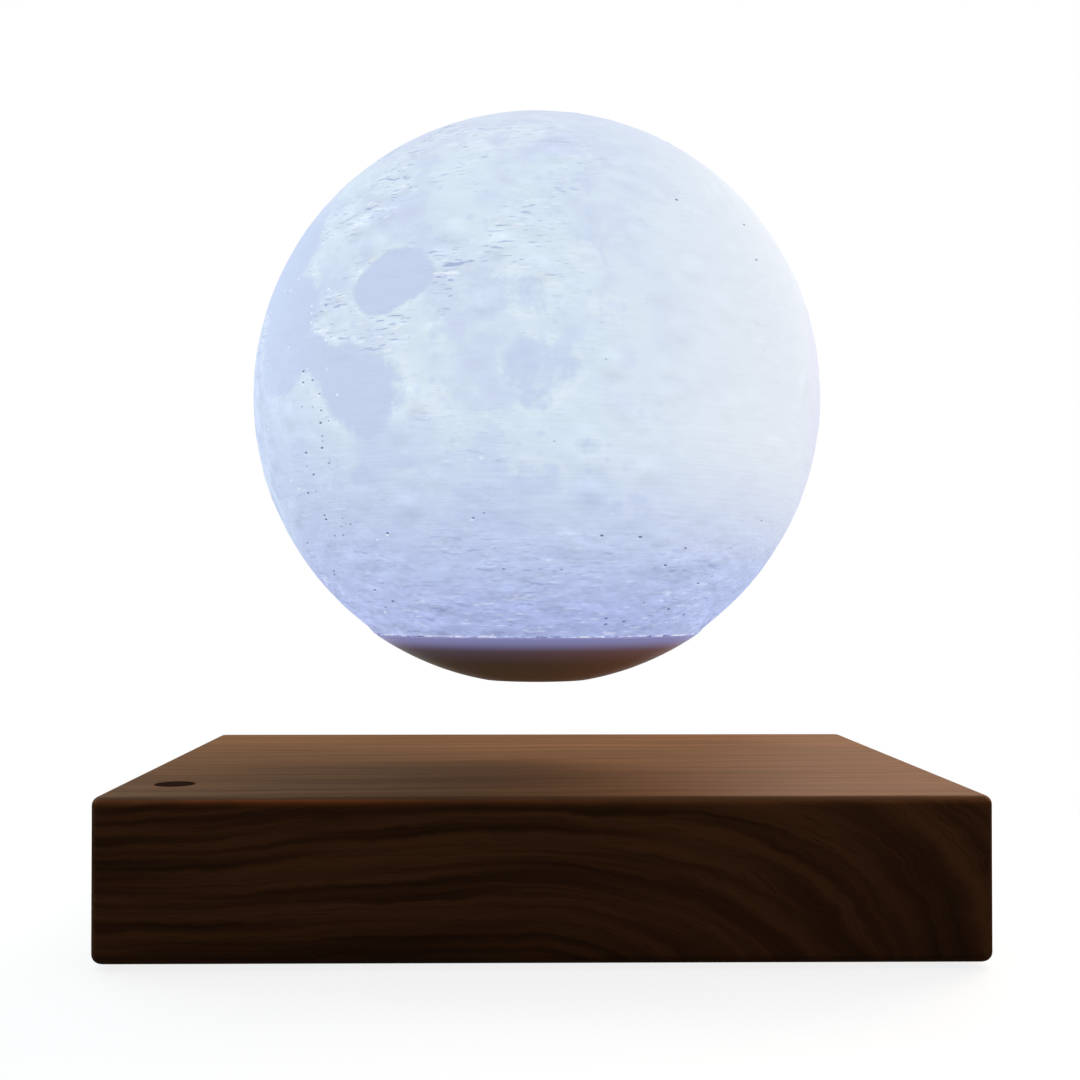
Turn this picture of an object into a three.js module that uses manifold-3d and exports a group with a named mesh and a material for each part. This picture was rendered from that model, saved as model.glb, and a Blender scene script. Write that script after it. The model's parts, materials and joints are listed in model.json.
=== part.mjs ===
// Levitating globe lamp: a hollow printed globe floats over a wooden base that holds a magnetic
// levitation module. Lengths are in millimetres, +Z is up and the front is towards -Y.
// The origin is on the table, under the middle of the base.

import * as THREE from "three";
import { mergeVertices } from "three/addons/utils/BufferGeometryUtils.js";
import Module from "manifold-3d";

const wasm = await Module();
wasm.setup();

// Driving dimensions: globe and float height
const globeRadius = 68.5;
const globeWall = 2;
const floatGap = 19.7; // from the wood to the flat underside of the globe's cap

// Clearances shared by all pieces
const seatGap = 0.3; // between a piece and what it rests on
const sideGap = 0.3; // round a piece in its pocket
const overrun = 1; // how far a cutting tool runs past the face it cuts

// Wooden base
const woodWall = 6;
const woodSkin = 3.1; // wood left over the levitation module
const woodCornerRadius = 2.5;
const woodTopRound = 1.8;
const woodBottomRound = 2;
const pocketCornerRadius = 8;
const pocketMargin = 4.55; // from the round module recess to the front and back walls
const sideBay = 32.55; // from the round module recess to the side walls
const recessGap = 1; // round the module in its recess
const recessDepth = 0.9;
const rebateInset = 2.5; // how far the cover's rebate bites into the walls
const postRadius = 4.5;
const postOffset = 10; // from the module recess to a screw post, along X
const postBite = 1; // how far a screw post runs into the front or back wall

// Bottom cover and feet
const coverRecess = 0.3;
const coverThickness = 2.8;
const ventCount = 7;
const ventWidth = 2.2;
const ventLength = 34;
const ventPitch = 6.4;
const ventBankGap = 12; // between the two banks of vents
const supportHeight = 3.2;
const supportRadius = 3;
const supportInset = 5;
const supportSetback = 14;
const footRadius = 6;
const footProud = 1;
const footRecess = 0.8;
const footRound = 0.4;
const footOffset = 11.5; // from a cover screw to its foot, along X
const footShift = 4.5; // from a cover screw to its foot, along Y

// Cover screws
const coverHeadRadius = 2.7;
const coverHeadHeight = 1.4;
const coverShankRadius = 1.4;
const coverScrewLength = 11;

// Control board
const boardThickness = 1.6;
const boardSideGap = 8;
const boardEndGap = 4;
const boardCornerRadius = 3;
const boardPostGap = 1.2;
const chipHeight = 1.5;
const chipLong = 8;
const chipWide = 5;
const chipPitch = 11;
const chipInset = 9;
const plugSocketHeight = 5;
const plugSocketWidth = 6;
const plugSocketLength = 7.5;

// Capacitors
const capacitorRadius = 5;
const capacitorHeight = 16;
const capacitorGroove = 0.5;
const capacitorPitch = 14;
const capacitorInset = 10;

// Power inlet
const jackWidth = 9;
const jackLength = 14.4;
const jackHeight = 11;
const jackBoreRadius = 3.15;
const jackBoreDepth = 9.5;
const jackPinRadius = 1;
const jackPinSetback = 1;
const jackPinRoot = 2;
const jackSideGap = 5.1; // from a screw post to the jack
const inletRadius = 5.5;

// Permanent magnet ring
const magnetCount = 8;
const magnetRadius = 9;
const magnetHeight = 9;
const carrierWall = 1.6;
const carrierRoof = 1.4;
const legCount = 4;
const legRadius = 3.5;
const pinRadius = 1.5;
const pinProud = 1;
const yokeThickness = 1.5;
const yokeLift = 7.4; // from the board to the yoke
const yokeInset = 0.5;

// Electromagnets
const coilCount = 4;
const coreRadius = 3.5;
const coreProud = 1.5;
const bobbinWall = 0.8;
const bobbinFlange = 0.8;
const windingBuild = 4.1;
const flangeProud = 0.5;
const coilGap = 0.8;
const moduleGap = 4.6; // between the electromagnets and the magnet ring

// Field sensors
const sensorWidth = 4;
const sensorThickness = 1.5;
const sensorHeight = 3;
const sensorGap = 0.15;
const sensorProud = 0.8;
const towerWall = 0.8;

// Power transmitter coil
const transmitterThickness = 1.5;
const transmitterInset = 2;

// Touch key
const electrodeRadius = 5;
const electrodeThickness = 0.5;
const electrodeMargin = 1.3;
const electrodeSetback = 13.5;
const electrodeRecess = 1.2;
const leadRadius = 0.6;
const leadDrop = 3;

// Cap of the globe, with the float magnet and the lamp
const capFlat = 1.2; // how much of the ball is cut flat below
const capWall = 1.8;
const seamGap = 0.3;
const floatMagnetRadius = 22;
const floatMagnetHeight = 8;
const ledgeWidth = 2.5;
const cupWall = 1.5;
const receiverBuild = 5.3;
const receiverHeight = 4;
const bossRadius = 2.4;
const bossBite = 0.8; // how far a boss runs into the spigot
const bossCount = 3;
const spigotWall = 1.6;
const spigotGap = 0.3;
const ferriteThickness = 0.8;
const lampBoardLift = 2;
const lampBoardThickness = 1.6;
const lampScrewHeadRadius = 2.2;
const lampScrewHeadHeight = 1.4;
const lampScrewShankRadius = 1.1;
const lampScrewLength = 6;
const lightCount = 6;
const lightSide = 5;
const lightHeight = 1.6;
const lightInset = 12; // from the lamp board's edge to a light's centre
const canRadius = 3.2;
const canHeight = 5.4;
const rectifierSide = 6;
const rectifierHeight = 2.4;

// Facets
const globeSides = 44;
const ringSides = 40;
const discSides = 16;
const rodSides = 12;
const screwSides = 10;
const leadSides = 6;
const leadSteps = 12;
const cornerSteps = 4;
const slotSteps = 2;
const capSteps = 4;
const floorSteps = 2;
const roundSteps = 3;
const fineArc = 7.5; // degrees of the globe's arc to a facet, outside
const coarseArc = 14; // and inside

// Heights in the base, from the table up
const woodBottom = footProud;
const coverBottom = woodBottom + coverRecess;
const coverTop = coverBottom + coverThickness;
const ledgeLevel = coverTop + seatGap;
const boardBottom = coverTop + supportHeight + seatGap;
const boardTop = boardBottom + boardThickness;
const onBoard = boardTop + seatGap;
const yokeBottom = boardTop + yokeLift;
const carrierBottom = yokeBottom + yokeThickness + seatGap;
const carrierHeight = magnetHeight + seatGap + carrierRoof;
const carrierTop = carrierBottom + carrierHeight;
const transmitterBottom = carrierTop + seatGap;
const recessCeiling = transmitterBottom + transmitterThickness + seatGap;
const pocketCeiling = recessCeiling - recessDepth;
const woodTop = recessCeiling + woodSkin;

// Radii of the levitation module, from its middle out
const slotWide = sensorThickness + 2 * sensorGap;
const slotLong = sensorWidth + 2 * sensorGap;
const towerHalf = (slotWide + slotLong + 3 * towerWall) / 2;
const bobbinBore = coreRadius + sideGap;
const bobbinTube = bobbinBore + bobbinWall;
const windingRadius = bobbinTube + sideGap + windingBuild;
const flangeRadius = windingRadius + flangeProud;
const coilClearance = Math.max(towerHalf + coilGap, (flangeRadius + coilGap) * (Math.SQRT2 - 1));
const coilCircle = coilClearance + flangeRadius;
const carrierInner = coilCircle + flangeRadius + moduleGap;
const magnetPocket = magnetRadius + sideGap;
const magnetCircle = carrierInner + carrierWall + magnetPocket;
const carrierOuter = magnetCircle + magnetPocket + carrierWall;
const recessRadius = carrierOuter + recessGap;

// Plan of the base, from the module out
const pocketHalfDepth = recessRadius + pocketMargin;
const pocketHalfWidth = recessRadius + sideBay;
const baseHalfDepth = pocketHalfDepth + woodWall;
const baseHalfWidth = pocketHalfWidth + woodWall;
const postX = recessRadius + postOffset;
const postY = pocketHalfDepth + postBite - postRadius;
const boardHalfWidth = pocketHalfWidth - boardSideGap;
const boardHalfDepth = pocketHalfDepth - boardEndGap;
const jackX = postX - postRadius - jackSideGap - jackWidth / 2;
const jackAxis = onBoard + jackHeight / 2;
const electrodeX = -(pocketHalfWidth - electrodeRadius - electrodeMargin);
const electrodeY = -(pocketHalfDepth - electrodeSetback);
const leadSocket = { x: -(boardHalfWidth - capacitorInset), y: -capacitorPitch };

// Levels and radii of the globe and its cap, from the globe's centre
const globeInner = globeRadius - globeWall;
const globeCentre = woodTop + floatGap + globeRadius - capFlat;
const capInner = globeRadius - capWall;
const cupInner = floatMagnetRadius + sideGap;
const cupOuter = cupInner + cupWall;
const receiverInner = cupOuter + sideGap;
const receiverOuter = receiverInner + receiverBuild;
const spigotInner = receiverOuter + sideGap + 2 * bossRadius - bossBite;
const bossCircle = spigotInner + bossBite - bossRadius;
const spigotOuter = spigotInner + spigotWall;
const rimInner = spigotOuter + spigotGap;
const rimLevel = levelAt(globeInner, rimInner);
const ledgeLevelInCap = levelAt(capInner, cupInner);
const floatMagnetBottom = ledgeLevelInCap + seatGap;
const cupTop = floatMagnetBottom + floatMagnetHeight + seatGap;
const ferriteBottom = cupTop + seatGap;
const spigotTop = ferriteBottom + ferriteThickness + lampBoardLift;
const lampBoardBottom = spigotTop + seatGap;
const lampBoardTop = lampBoardBottom + lampBoardThickness;
const lampBoardRadius = spigotOuter;

// Finishes
const finish = {
  walnut: paint(0x2b190f, 0.45, 0),
  coverPlastic: paint(0x161616, 0.6, 0),
  rubber: paint(0x1b1b1c, 0.9, 0),
  screwSteel: paint(0x8f9296, 0.35, 1),
  yokeSteel: paint(0x9a9da0, 0.4, 1),
  magnetNickel: paint(0xc4c6c8, 0.22, 1),
  copperWire: paint(0xa65a2a, 0.35, 1),
  bobbinPlastic: paint(0x202226, 0.5, 0),
  greenBoard: paint(0x12512f, 0.5, 0),
  whiteBoard: paint(0xe9ebea, 0.5, 0),
  jackPlastic: paint(0x121212, 0.45, 0),
  contactBrass: paint(0xc9a65a, 0.3, 1),
  sensorResin: paint(0x1a1a1c, 0.55, 0),
  capacitorSleeve: paint(0x1d2a4a, 0.4, 0),
  leadSheath: paint(0xb02a22, 0.6, 0),
  ferrite: paint(0x3a3a3d, 0.7, 0),
  globePlastic: paint(0xd6e0f4, 0.6, 0),
  capPlastic: paint(0x4a332a, 0.5, 0),
  lightPhosphor: paint(0xf1d56a, 0.4, 0),
};

function paint(color, roughness, metalness) {
  return new THREE.MeshStandardMaterial({ color, roughness, metalness });
}

// How far below a ball's centre its surface is at a radius from the axis, as a negative height
function levelAt(ballRadius, radius) {
  return -Math.sqrt(ballRadius ** 2 - radius ** 2);
}

// A closed three.js geometry as a solid that can be cut and joined
function solid(geometry) {
  const bare = geometry.index ? geometry.toNonIndexed() : geometry.clone();
  bare.deleteAttribute("normal");
  bare.deleteAttribute("uv");
  const merged = mergeVertices(bare);
  return new wasm.Manifold(
    new wasm.Mesh({
      numProp: 3,
      vertProperties: merged.attributes.position.array,
      triVerts: new Uint32Array(merged.index.array),
    }),
  );
}

function geometryOf(body) {
  const mesh = body.getMesh();
  const geometry = new THREE.BufferGeometry();
  geometry.setAttribute("position", new THREE.BufferAttribute(mesh.vertProperties, 3));
  geometry.setIndex(new THREE.BufferAttribute(mesh.triVerts, 1));
  geometry.computeVertexNormals();
  return geometry;
}

// The first geometry with the added ones joined on and the removed ones cut away
function carve(blank, { added = [], removed = [] }) {
  const joined = added.reduce((body, piece) => body.add(solid(piece)), solid(blank));
  return geometryOf(removed.reduce((body, tool) => body.subtract(solid(tool)), joined));
}

function named(name, geometry, material, x = 0, y = 0, z = 0) {
  const mesh = new THREE.Mesh(geometry, material);
  mesh.name = name;
  mesh.position.set(x, y, z);
  return mesh;
}

// An upright rod that stands on z = bottom
function rod(radius, height, { x = 0, y = 0, bottom = 0, sides = rodSides } = {}) {
  return new THREE.CylinderGeometry(radius, radius, height, sides)
    .rotateX(Math.PI / 2)
    .translate(x, y, bottom + height / 2);
}

// A block centred on x, y that stands on z = bottom
function block(width, depth, height, { x = 0, y = 0, bottom = 0 } = {}) {
  return new THREE.BoxGeometry(width, depth, height).translate(x, y, bottom + height / 2);
}

// A rod that lies along Y from y = start
function barrel(radius, length, { x = 0, start = 0, z = 0 } = {}) {
  return new THREE.CylinderGeometry(radius, radius, length, rodSides).translate(x, start + length / 2, z);
}

// A profile of [radius, height] points turned round Z
function turned(profile, sides) {
  const points = profile.map(([radius, height]) => new THREE.Vector2(radius, height));
  const area = points.reduce((sum, p, i) => sum + p.cross(points[(i + 1) % points.length]), 0);
  if (area < 0) points.reverse();
  return new THREE.LatheGeometry(points, sides).rotateX(Math.PI / 2);
}

// A flat ring of rectangular section
function washer(outer, inner, height, sides = ringSides) {
  const section = [[inner, 0], [outer, 0], [outer, height], [inner, height], [inner, 0]];
  return turned(section, sides);
}

// Points on a ball's arc, from one radius to another, below the ball's middle
function lowerArc(ballRadius, fromRadius, toRadius, steps) {
  const from = Math.asin(fromRadius / ballRadius);
  const to = Math.asin(toRadius / ballRadius);
  return Array.from({ length: steps + 1 }, (_, i) => {
    const angle = from + ((to - from) * i) / steps;
    return [ballRadius * Math.sin(angle), -ballRadius * Math.cos(angle)];
  });
}

// Points on a ball's arc from a level up to the pole
function arcToPole(ballRadius, fromLevel, degreesPerStep) {
  const from = Math.asin(fromLevel / ballRadius);
  const span = Math.PI / 2 - from;
  const steps = Math.ceil(THREE.MathUtils.radToDeg(span) / degreesPerStep);
  const arc = Array.from({ length: steps }, (_, i) => {
    const angle = from + (span * i) / steps;
    return [ballRadius * Math.cos(angle), ballRadius * Math.sin(angle)];
  });
  return [...arc, [0, ballRadius]];
}

function roundedRectangle(halfWidth, halfDepth, radius) {
  const [x, y] = [halfWidth - radius, halfDepth - radius];
  const outline = new THREE.Shape();
  outline.absarc(x, y, radius, 0, Math.PI / 2);
  outline.absarc(-x, y, radius, Math.PI / 2, Math.PI);
  outline.absarc(-x, -y, radius, Math.PI, 1.5 * Math.PI);
  outline.absarc(x, -y, radius, 1.5 * Math.PI, 2 * Math.PI);
  return outline;
}

function plate(outline, thickness, bottom = 0, steps = cornerSteps) {
  const flat = { depth: thickness, bevelEnabled: false, curveSegments: steps };
  return new THREE.ExtrudeGeometry(outline, flat).translate(0, 0, bottom);
}

// A block with rounded upright edges and its own round on the lower and the upper rim
function softBlock(halfWidth, halfDepth, height, cornerRadius, lowerRound, upperRound) {
  const levels = [];
  for (let i = 0; i <= roundSteps; i++) {
    const angle = ((Math.PI / 2) * i) / roundSteps;
    levels.push([lowerRound * (1 - Math.sin(angle)), lowerRound * (1 - Math.cos(angle))]);
  }
  for (let i = 0; i <= roundSteps; i++) {
    const angle = ((Math.PI / 2) * i) / roundSteps;
    levels.push([upperRound * (1 - Math.cos(angle)), height - upperRound * (1 - Math.sin(angle))]);
  }
  const positions = [];
  for (const [inset, z] of levels) {
    const outline = roundedRectangle(halfWidth - inset, halfDepth - inset, cornerRadius - inset);
    const points = outline.getPoints(cornerSteps);
    for (const point of points) positions.push(point.x, point.y, z);
  }
  const count = positions.length / 3 / levels.length;
  const faces = [];
  for (let level = 0; level + 1 < levels.length; level++) {
    for (let i = 0; i < count; i++) {
      const [a, b] = [level * count + i, level * count + ((i + 1) % count)];
      faces.push(a, b, b + count, a, b + count, a + count);
    }
  }
  const top = (levels.length - 1) * count;
  for (let i = 1; i + 1 < count; i++) {
    faces.push(0, i + 1, i);
    faces.push(top, top + i, top + i + 1);
  }
  const geometry = new THREE.BufferGeometry();
  geometry.setAttribute("position", new THREE.Float32BufferAttribute(positions, 3));
  geometry.setIndex(faces);
  return geometry;
}

// A slot along Y with round ends
function slotOutline(width, length) {
  const radius = width / 2;
  const reach = length / 2 - radius;
  const outline = new THREE.Shape();
  outline.absarc(0, reach, radius, 0, Math.PI);
  outline.absarc(0, -reach, radius, Math.PI, 2 * Math.PI);
  return outline;
}

// The four mirrored places of a point in the plan
function mirrored(x, y) {
  return [[-x, -y], [x, -y], [x, y], [-x, y]];
}

// Places evenly round a circle
function around(count, radius, firstAngle = 0) {
  return Array.from({ length: count }, (_, i) => {
    const angle = firstAngle + (2 * Math.PI * i) / count;
    return [radius * Math.cos(angle), radius * Math.sin(angle), angle];
  });
}

const postPlaces = mirrored(postX, postY);
const footPlaces = mirrored(postX + footOffset, postY - footShift);
const supportPlaces = mirrored(boardHalfWidth - supportInset, boardHalfDepth - supportSetback);
const magnetPlaces = around(magnetCount, magnetCircle);
const legPlaces = around(legCount, magnetCircle, Math.PI / magnetCount);
const coilPlaces = around(coilCount, coilCircle);
const bossPlaces = around(bossCount, bossCircle, Math.PI / 2);

// Wooden block, hollowed from below: pocket, round recess over the module, rebate, posts and holes
function woodBase() {
  const height = woodTop - woodBottom;
  const blank = softBlock(
    baseHalfWidth, baseHalfDepth, height, woodCornerRadius, woodBottomRound, woodTopRound,
  ).translate(0, 0, woodBottom);
  const floor = woodBottom - overrun;
  const pocketOutline = roundedRectangle(pocketHalfWidth, pocketHalfDepth, pocketCornerRadius);
  const pocketTool = plate(pocketOutline, pocketCeiling - floor, floor);
  const postHeight = pocketCeiling - floor + overrun;
  const posts = postPlaces.map(([x, y]) => rod(postRadius, postHeight, { x, y, bottom: floor }));
  const pocket = carve(pocketTool, { removed: posts });
  const rebateHalfWidth = pocketHalfWidth + rebateInset;
  const rebateHalfDepth = pocketHalfDepth + rebateInset;
  const rebateOutline = roundedRectangle(rebateHalfWidth, rebateHalfDepth, pocketCornerRadius);
  const rebate = plate(rebateOutline, ledgeLevel - floor, floor);
  const recess = rod(recessRadius, recessDepth + overrun, {
    bottom: pocketCeiling - overrun,
    sides: ringSides,
  });
  const screwHoles = postPlaces.map(([x, y]) =>
    rod(coverShankRadius + sideGap, coverScrewLength + seatGap, { x, y, bottom: coverBottom }),
  );
  const inlet = barrel(inletRadius, woodWall + 2 * overrun, {
    x: jackX,
    start: pocketHalfDepth - overrun,
    z: jackAxis,
  });
  const electrodeSeat = rod(electrodeRadius + sideGap, electrodeRecess + overrun, {
    x: electrodeX,
    y: electrodeY,
    bottom: pocketCeiling - overrun,
  });
  const removed = [pocket, rebate, recess, ...screwHoles, inlet, electrodeSeat];
  return named("wood_base", carve(blank, { removed }), finish.walnut);
}

// Moulded cover in the rebate, with vents, screw seats, foot seats and supports for the board
function bottomCover() {
  const halfWidth = pocketHalfWidth + rebateInset - sideGap;
  const halfDepth = pocketHalfDepth + rebateInset - sideGap;
  const outline = roundedRectangle(halfWidth, halfDepth, pocketCornerRadius - sideGap);
  const added = supportPlaces.map(([x, y]) =>
    rod(supportRadius, supportHeight + coverThickness / 2, { x, y, bottom: coverThickness / 2 }),
  );
  const slot = slotOutline(ventWidth, ventLength);
  const bankStart = (ventBankGap + ventWidth) / 2;
  const removed = [];
  for (let i = 0; i < ventCount; i++) {
    for (const side of [-1, 1]) {
      const vent = plate(slot, coverThickness + 2 * overrun, -overrun, slotSteps);
      removed.push(vent.translate(side * (bankStart + i * ventPitch), 0, 0));
    }
  }
  const headSeat = coverHeadHeight + coverRecess + seatGap;
  for (const [x, y] of postPlaces) {
    removed.push(rod(coverHeadRadius + sideGap, headSeat, { x, y, bottom: -coverRecess }));
    removed.push(rod(coverShankRadius + sideGap, coverThickness + overrun, { x, y }));
  }
  for (const [x, y] of footPlaces) {
    const footTool = { x, y, bottom: -overrun, sides: discSides };
    removed.push(rod(footRadius + sideGap, footRecess + overrun, footTool));
  }
  const body = carve(plate(outline, coverThickness), { added, removed });
  return named("bottom_cover", body, finish.coverPlastic, 0, 0, coverBottom);
}

// A pan-head screw that points up, with its head's underside at z = 0
function screwGeometry(headRadius, headHeight, shankRadius, length) {
  const tip = shankRadius;
  const crown = headHeight / 2;
  const profile = [
    [0, -headHeight],
    [headRadius - crown, -headHeight],
    [headRadius, -crown],
    [headRadius, 0],
    [shankRadius, 0],
    [shankRadius, length - tip],
    [0, length],
  ];
  return turned(profile, screwSides);
}

function coverScrews() {
  const seat = coverBottom + coverHeadHeight;
  const length = coverScrewLength - coverHeadHeight;
  return postPlaces.map(([x, y], i) => {
    const screw = screwGeometry(coverHeadRadius, coverHeadHeight, coverShankRadius, length);
    return named(`cover_screw_${i + 1}`, screw, finish.screwSteel, x, y, seat);
  });
}

function feet() {
  const height = footProud + coverRecess + footRecess - seatGap;
  const profile = [
    [0, 0],
    [footRadius - footRound, 0],
    [footRadius, footRound],
    [footRadius, height],
    [0, height],
  ];
  return footPlaces.map(([x, y], i) =>
    named(`foot_${i + 1}`, turned(profile, discSides), finish.rubber, x, y),
  );
}

// Control board with its soldered chips and the touch lead's socket, notched round the screw posts
function controlBoard() {
  const outline = roundedRectangle(boardHalfWidth, boardHalfDepth, boardCornerRadius);
  const lift = boardThickness / 2;
  const rise = boardThickness - lift;
  const added = [];
  for (let i = -1; i <= 1; i++) {
    const place = { x: boardHalfWidth - chipInset, y: i * chipPitch, bottom: lift };
    added.push(block(chipWide, chipLong, chipHeight + rise, place));
  }
  const socketPlace = { x: leadSocket.x, y: leadSocket.y, bottom: lift };
  added.push(block(plugSocketWidth, plugSocketLength, plugSocketHeight + rise, socketPlace));
  const through = boardThickness + 2 * overrun;
  const removed = postPlaces.map(([x, y]) =>
    rod(postRadius + boardPostGap, through, { x, y, bottom: -overrun }),
  );
  for (const [x, y] of legPlaces) {
    removed.push(rod(pinRadius + sideGap, through, { x, y, bottom: -overrun }));
  }
  const body = carve(plate(outline, boardThickness), { added, removed });
  return named("control_board", body, finish.greenBoard, 0, 0, boardBottom);
}

function capacitors() {
  const r = capacitorRadius;
  const neck = r - capacitorGroove;
  const profile = [
    [0, 0],
    [r, 0],
    [r, 2 * capacitorGroove],
    [neck, 3 * capacitorGroove],
    [r, 4 * capacitorGroove],
    [r, capacitorHeight - capacitorGroove],
    [neck, capacitorHeight],
    [0, capacitorHeight],
  ];
  const x = -(boardHalfWidth - capacitorInset);
  return [0, 1].map((i) =>
    named(`capacitor_${i + 1}`, turned(profile, rodSides), finish.capacitorSleeve,
      x, (i + 0.5) * capacitorPitch, onBoard),
  );
}

// Barrel socket for the power plug, open towards the back, with its centre pin
function powerInlet() {
  const back = pocketHalfDepth - sideGap;
  const bore = barrel(jackBoreRadius, jackBoreDepth + overrun, {
    start: -jackBoreDepth,
    z: jackHeight / 2,
  });
  const rootDepth = jackBoreDepth + jackPinRoot;
  const root = barrel(jackPinRadius + sideGap, jackPinRoot + overrun, {
    start: -rootDepth,
    z: jackHeight / 2,
  });
  const housing = carve(block(jackWidth, jackLength, jackHeight, { y: -jackLength / 2 }), {
    removed: [bore, root],
  });
  const pin = barrel(jackPinRadius, rootDepth - seatGap - jackPinSetback, {
    start: seatGap - rootDepth,
  });
  return [
    named("dc_jack", housing, finish.jackPlastic, jackX, back, onBoard),
    named("dc_jack_pin", pin, finish.contactBrass, jackX, back, jackAxis),
  ];
}

// Moulded ring that holds the permanent magnets over the board, on legs with staked pins
function magnetCarrier() {
  const legLength = carrierBottom - onBoard;
  const pinLength = seatGap + boardThickness + pinProud;
  const added = legPlaces.flatMap(([x, y]) => [
    rod(legRadius, legLength + overrun, { x, y, bottom: -legLength }),
    rod(pinRadius, pinLength + overrun, { x, y, bottom: -legLength - pinLength }),
  ]);
  const removed = magnetPlaces.map(([x, y]) =>
    rod(magnetPocket, magnetHeight + seatGap + overrun, { x, y, bottom: -overrun, sides: discSides }),
  );
  const body = carve(washer(carrierOuter, carrierInner, carrierHeight), { added, removed });
  return named("magnet_carrier", body, finish.bobbinPlastic, 0, 0, carrierBottom);
}

function ringMagnets() {
  const disc = rod(magnetRadius, magnetHeight, { sides: discSides });
  return magnetPlaces.map(([x, y], i) =>
    named(`ring_magnet_${i + 1}`, disc, finish.magnetNickel, x, y, carrierBottom),
  );
}

function yokeRing() {
  const blank = washer(carrierOuter - yokeInset, carrierInner + yokeInset, yokeThickness);
  const through = yokeThickness + 2 * overrun;
  const removed = legPlaces.map(([x, y]) => rod(legRadius + sideGap, through, { x, y, bottom: -overrun }));
  return named("yoke_ring", carve(blank, { removed }), finish.yokeSteel, 0, 0, yokeBottom);
}

// Four electromagnets: a steel core in a moulded bobbin with its copper winding
function electromagnets() {
  const height = carrierTop - coreProud - onBoard;
  const bobbin = turned(
    [
      [bobbinBore, 0],
      [flangeRadius, 0],
      [flangeRadius, bobbinFlange],
      [bobbinTube, bobbinFlange],
      [bobbinTube, height - bobbinFlange],
      [flangeRadius, height - bobbinFlange],
      [flangeRadius, height],
      [bobbinBore, height],
      [bobbinBore, 0],
    ],
    rodSides,
  );
  const windingBottom = bobbinFlange + seatGap;
  const winding = washer(windingRadius, bobbinTube + sideGap, height - 2 * windingBottom, rodSides);
  return coilPlaces.flatMap(([x, y], i) => [
    named(`coil_bobbin_${i + 1}`, bobbin, finish.bobbinPlastic, x, y, onBoard),
    named(`coil_winding_${i + 1}`, winding, finish.copperWire, x, y, onBoard + windingBottom),
    named(`coil_core_${i + 1}`, rod(coreRadius, height + coreProud), finish.yokeSteel, x, y, onBoard),
  ]);
}

// Tower between the coils that holds the three field sensors in slots
function fieldSensors() {
  const height = carrierTop - sensorProud - onBoard;
  const slotDepth = sensorHeight - sensorProud + seatGap;
  const outer = towerHalf - towerWall;
  const slots = [
    { x: -(outer - slotWide / 2), y: 0, wide: slotWide, deep: slotLong },
    { x: outer - slotLong / 2, y: -(outer - slotWide / 2), wide: slotLong, deep: slotWide },
    { x: outer - slotLong / 2, y: outer - slotWide / 2, wide: slotLong, deep: slotWide },
  ];
  const removed = slots.map(({ x, y, wide, deep }) =>
    block(wide, deep, slotDepth + overrun, { x, y, bottom: height - slotDepth }),
  );
  const tower = carve(block(2 * towerHalf, 2 * towerHalf, height), { removed });
  const sensors = slots.map(({ x, y, wide, deep }, i) => {
    const body = block(wide - 2 * sensorGap, deep - 2 * sensorGap, sensorHeight);
    return named(`hall_sensor_${i + 1}`, body, finish.sensorResin, x, y, carrierTop - sensorHeight);
  });
  return [named("sensor_tower", tower, finish.bobbinPlastic, 0, 0, onBoard), ...sensors];
}

function transmitterCoil() {
  const outer = carrierOuter - transmitterInset;
  const inner = carrierInner + transmitterInset;
  const body = washer(outer, inner, transmitterThickness);
  return named("transmitter_coil", body, finish.copperWire, 0, 0, transmitterBottom);
}

// Copper pad behind the touch mark, and its lead down to the board
function touchKey() {
  const padBottom = pocketCeiling + electrodeRecess - seatGap - electrodeThickness;
  const pad = named("touch_electrode", rod(electrodeRadius, electrodeThickness), finish.copperWire,
    electrodeX, electrodeY, padBottom);
  const top = padBottom - seatGap;
  const foot = boardTop + plugSocketHeight + seatGap;
  const route = new THREE.CatmullRomCurve3([
    new THREE.Vector3(electrodeX, electrodeY, top),
    new THREE.Vector3(electrodeX, electrodeY, top - leadDrop),
    new THREE.Vector3(
      (electrodeX + leadSocket.x) / 2, (electrodeY + leadSocket.y) / 2, (top + foot) / 2,
    ),
    new THREE.Vector3(leadSocket.x, leadSocket.y, foot + leadDrop),
    new THREE.Vector3(leadSocket.x, leadSocket.y, foot),
  ]);
  const section = new THREE.Shape();
  section.absarc(0, 0, leadRadius, 0, 2 * Math.PI);
  const leadSweep = { steps: leadSteps, extrudePath: route, curveSegments: leadSides / 2 };
  const lead = new THREE.ExtrudeGeometry(section, leadSweep);
  return [pad, named("touch_lead", lead, finish.leadSheath)];
}

// Hollow printed globe, cut level where its inside meets the cap's spigot
function globe() {
  const inside = arcToPole(globeInner, rimLevel, coarseArc).reverse();
  const outside = arcToPole(globeRadius, rimLevel, fineArc);
  return named("moon_globe", turned([...inside, ...outside], globeSides), finish.globePlastic);
}

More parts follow.
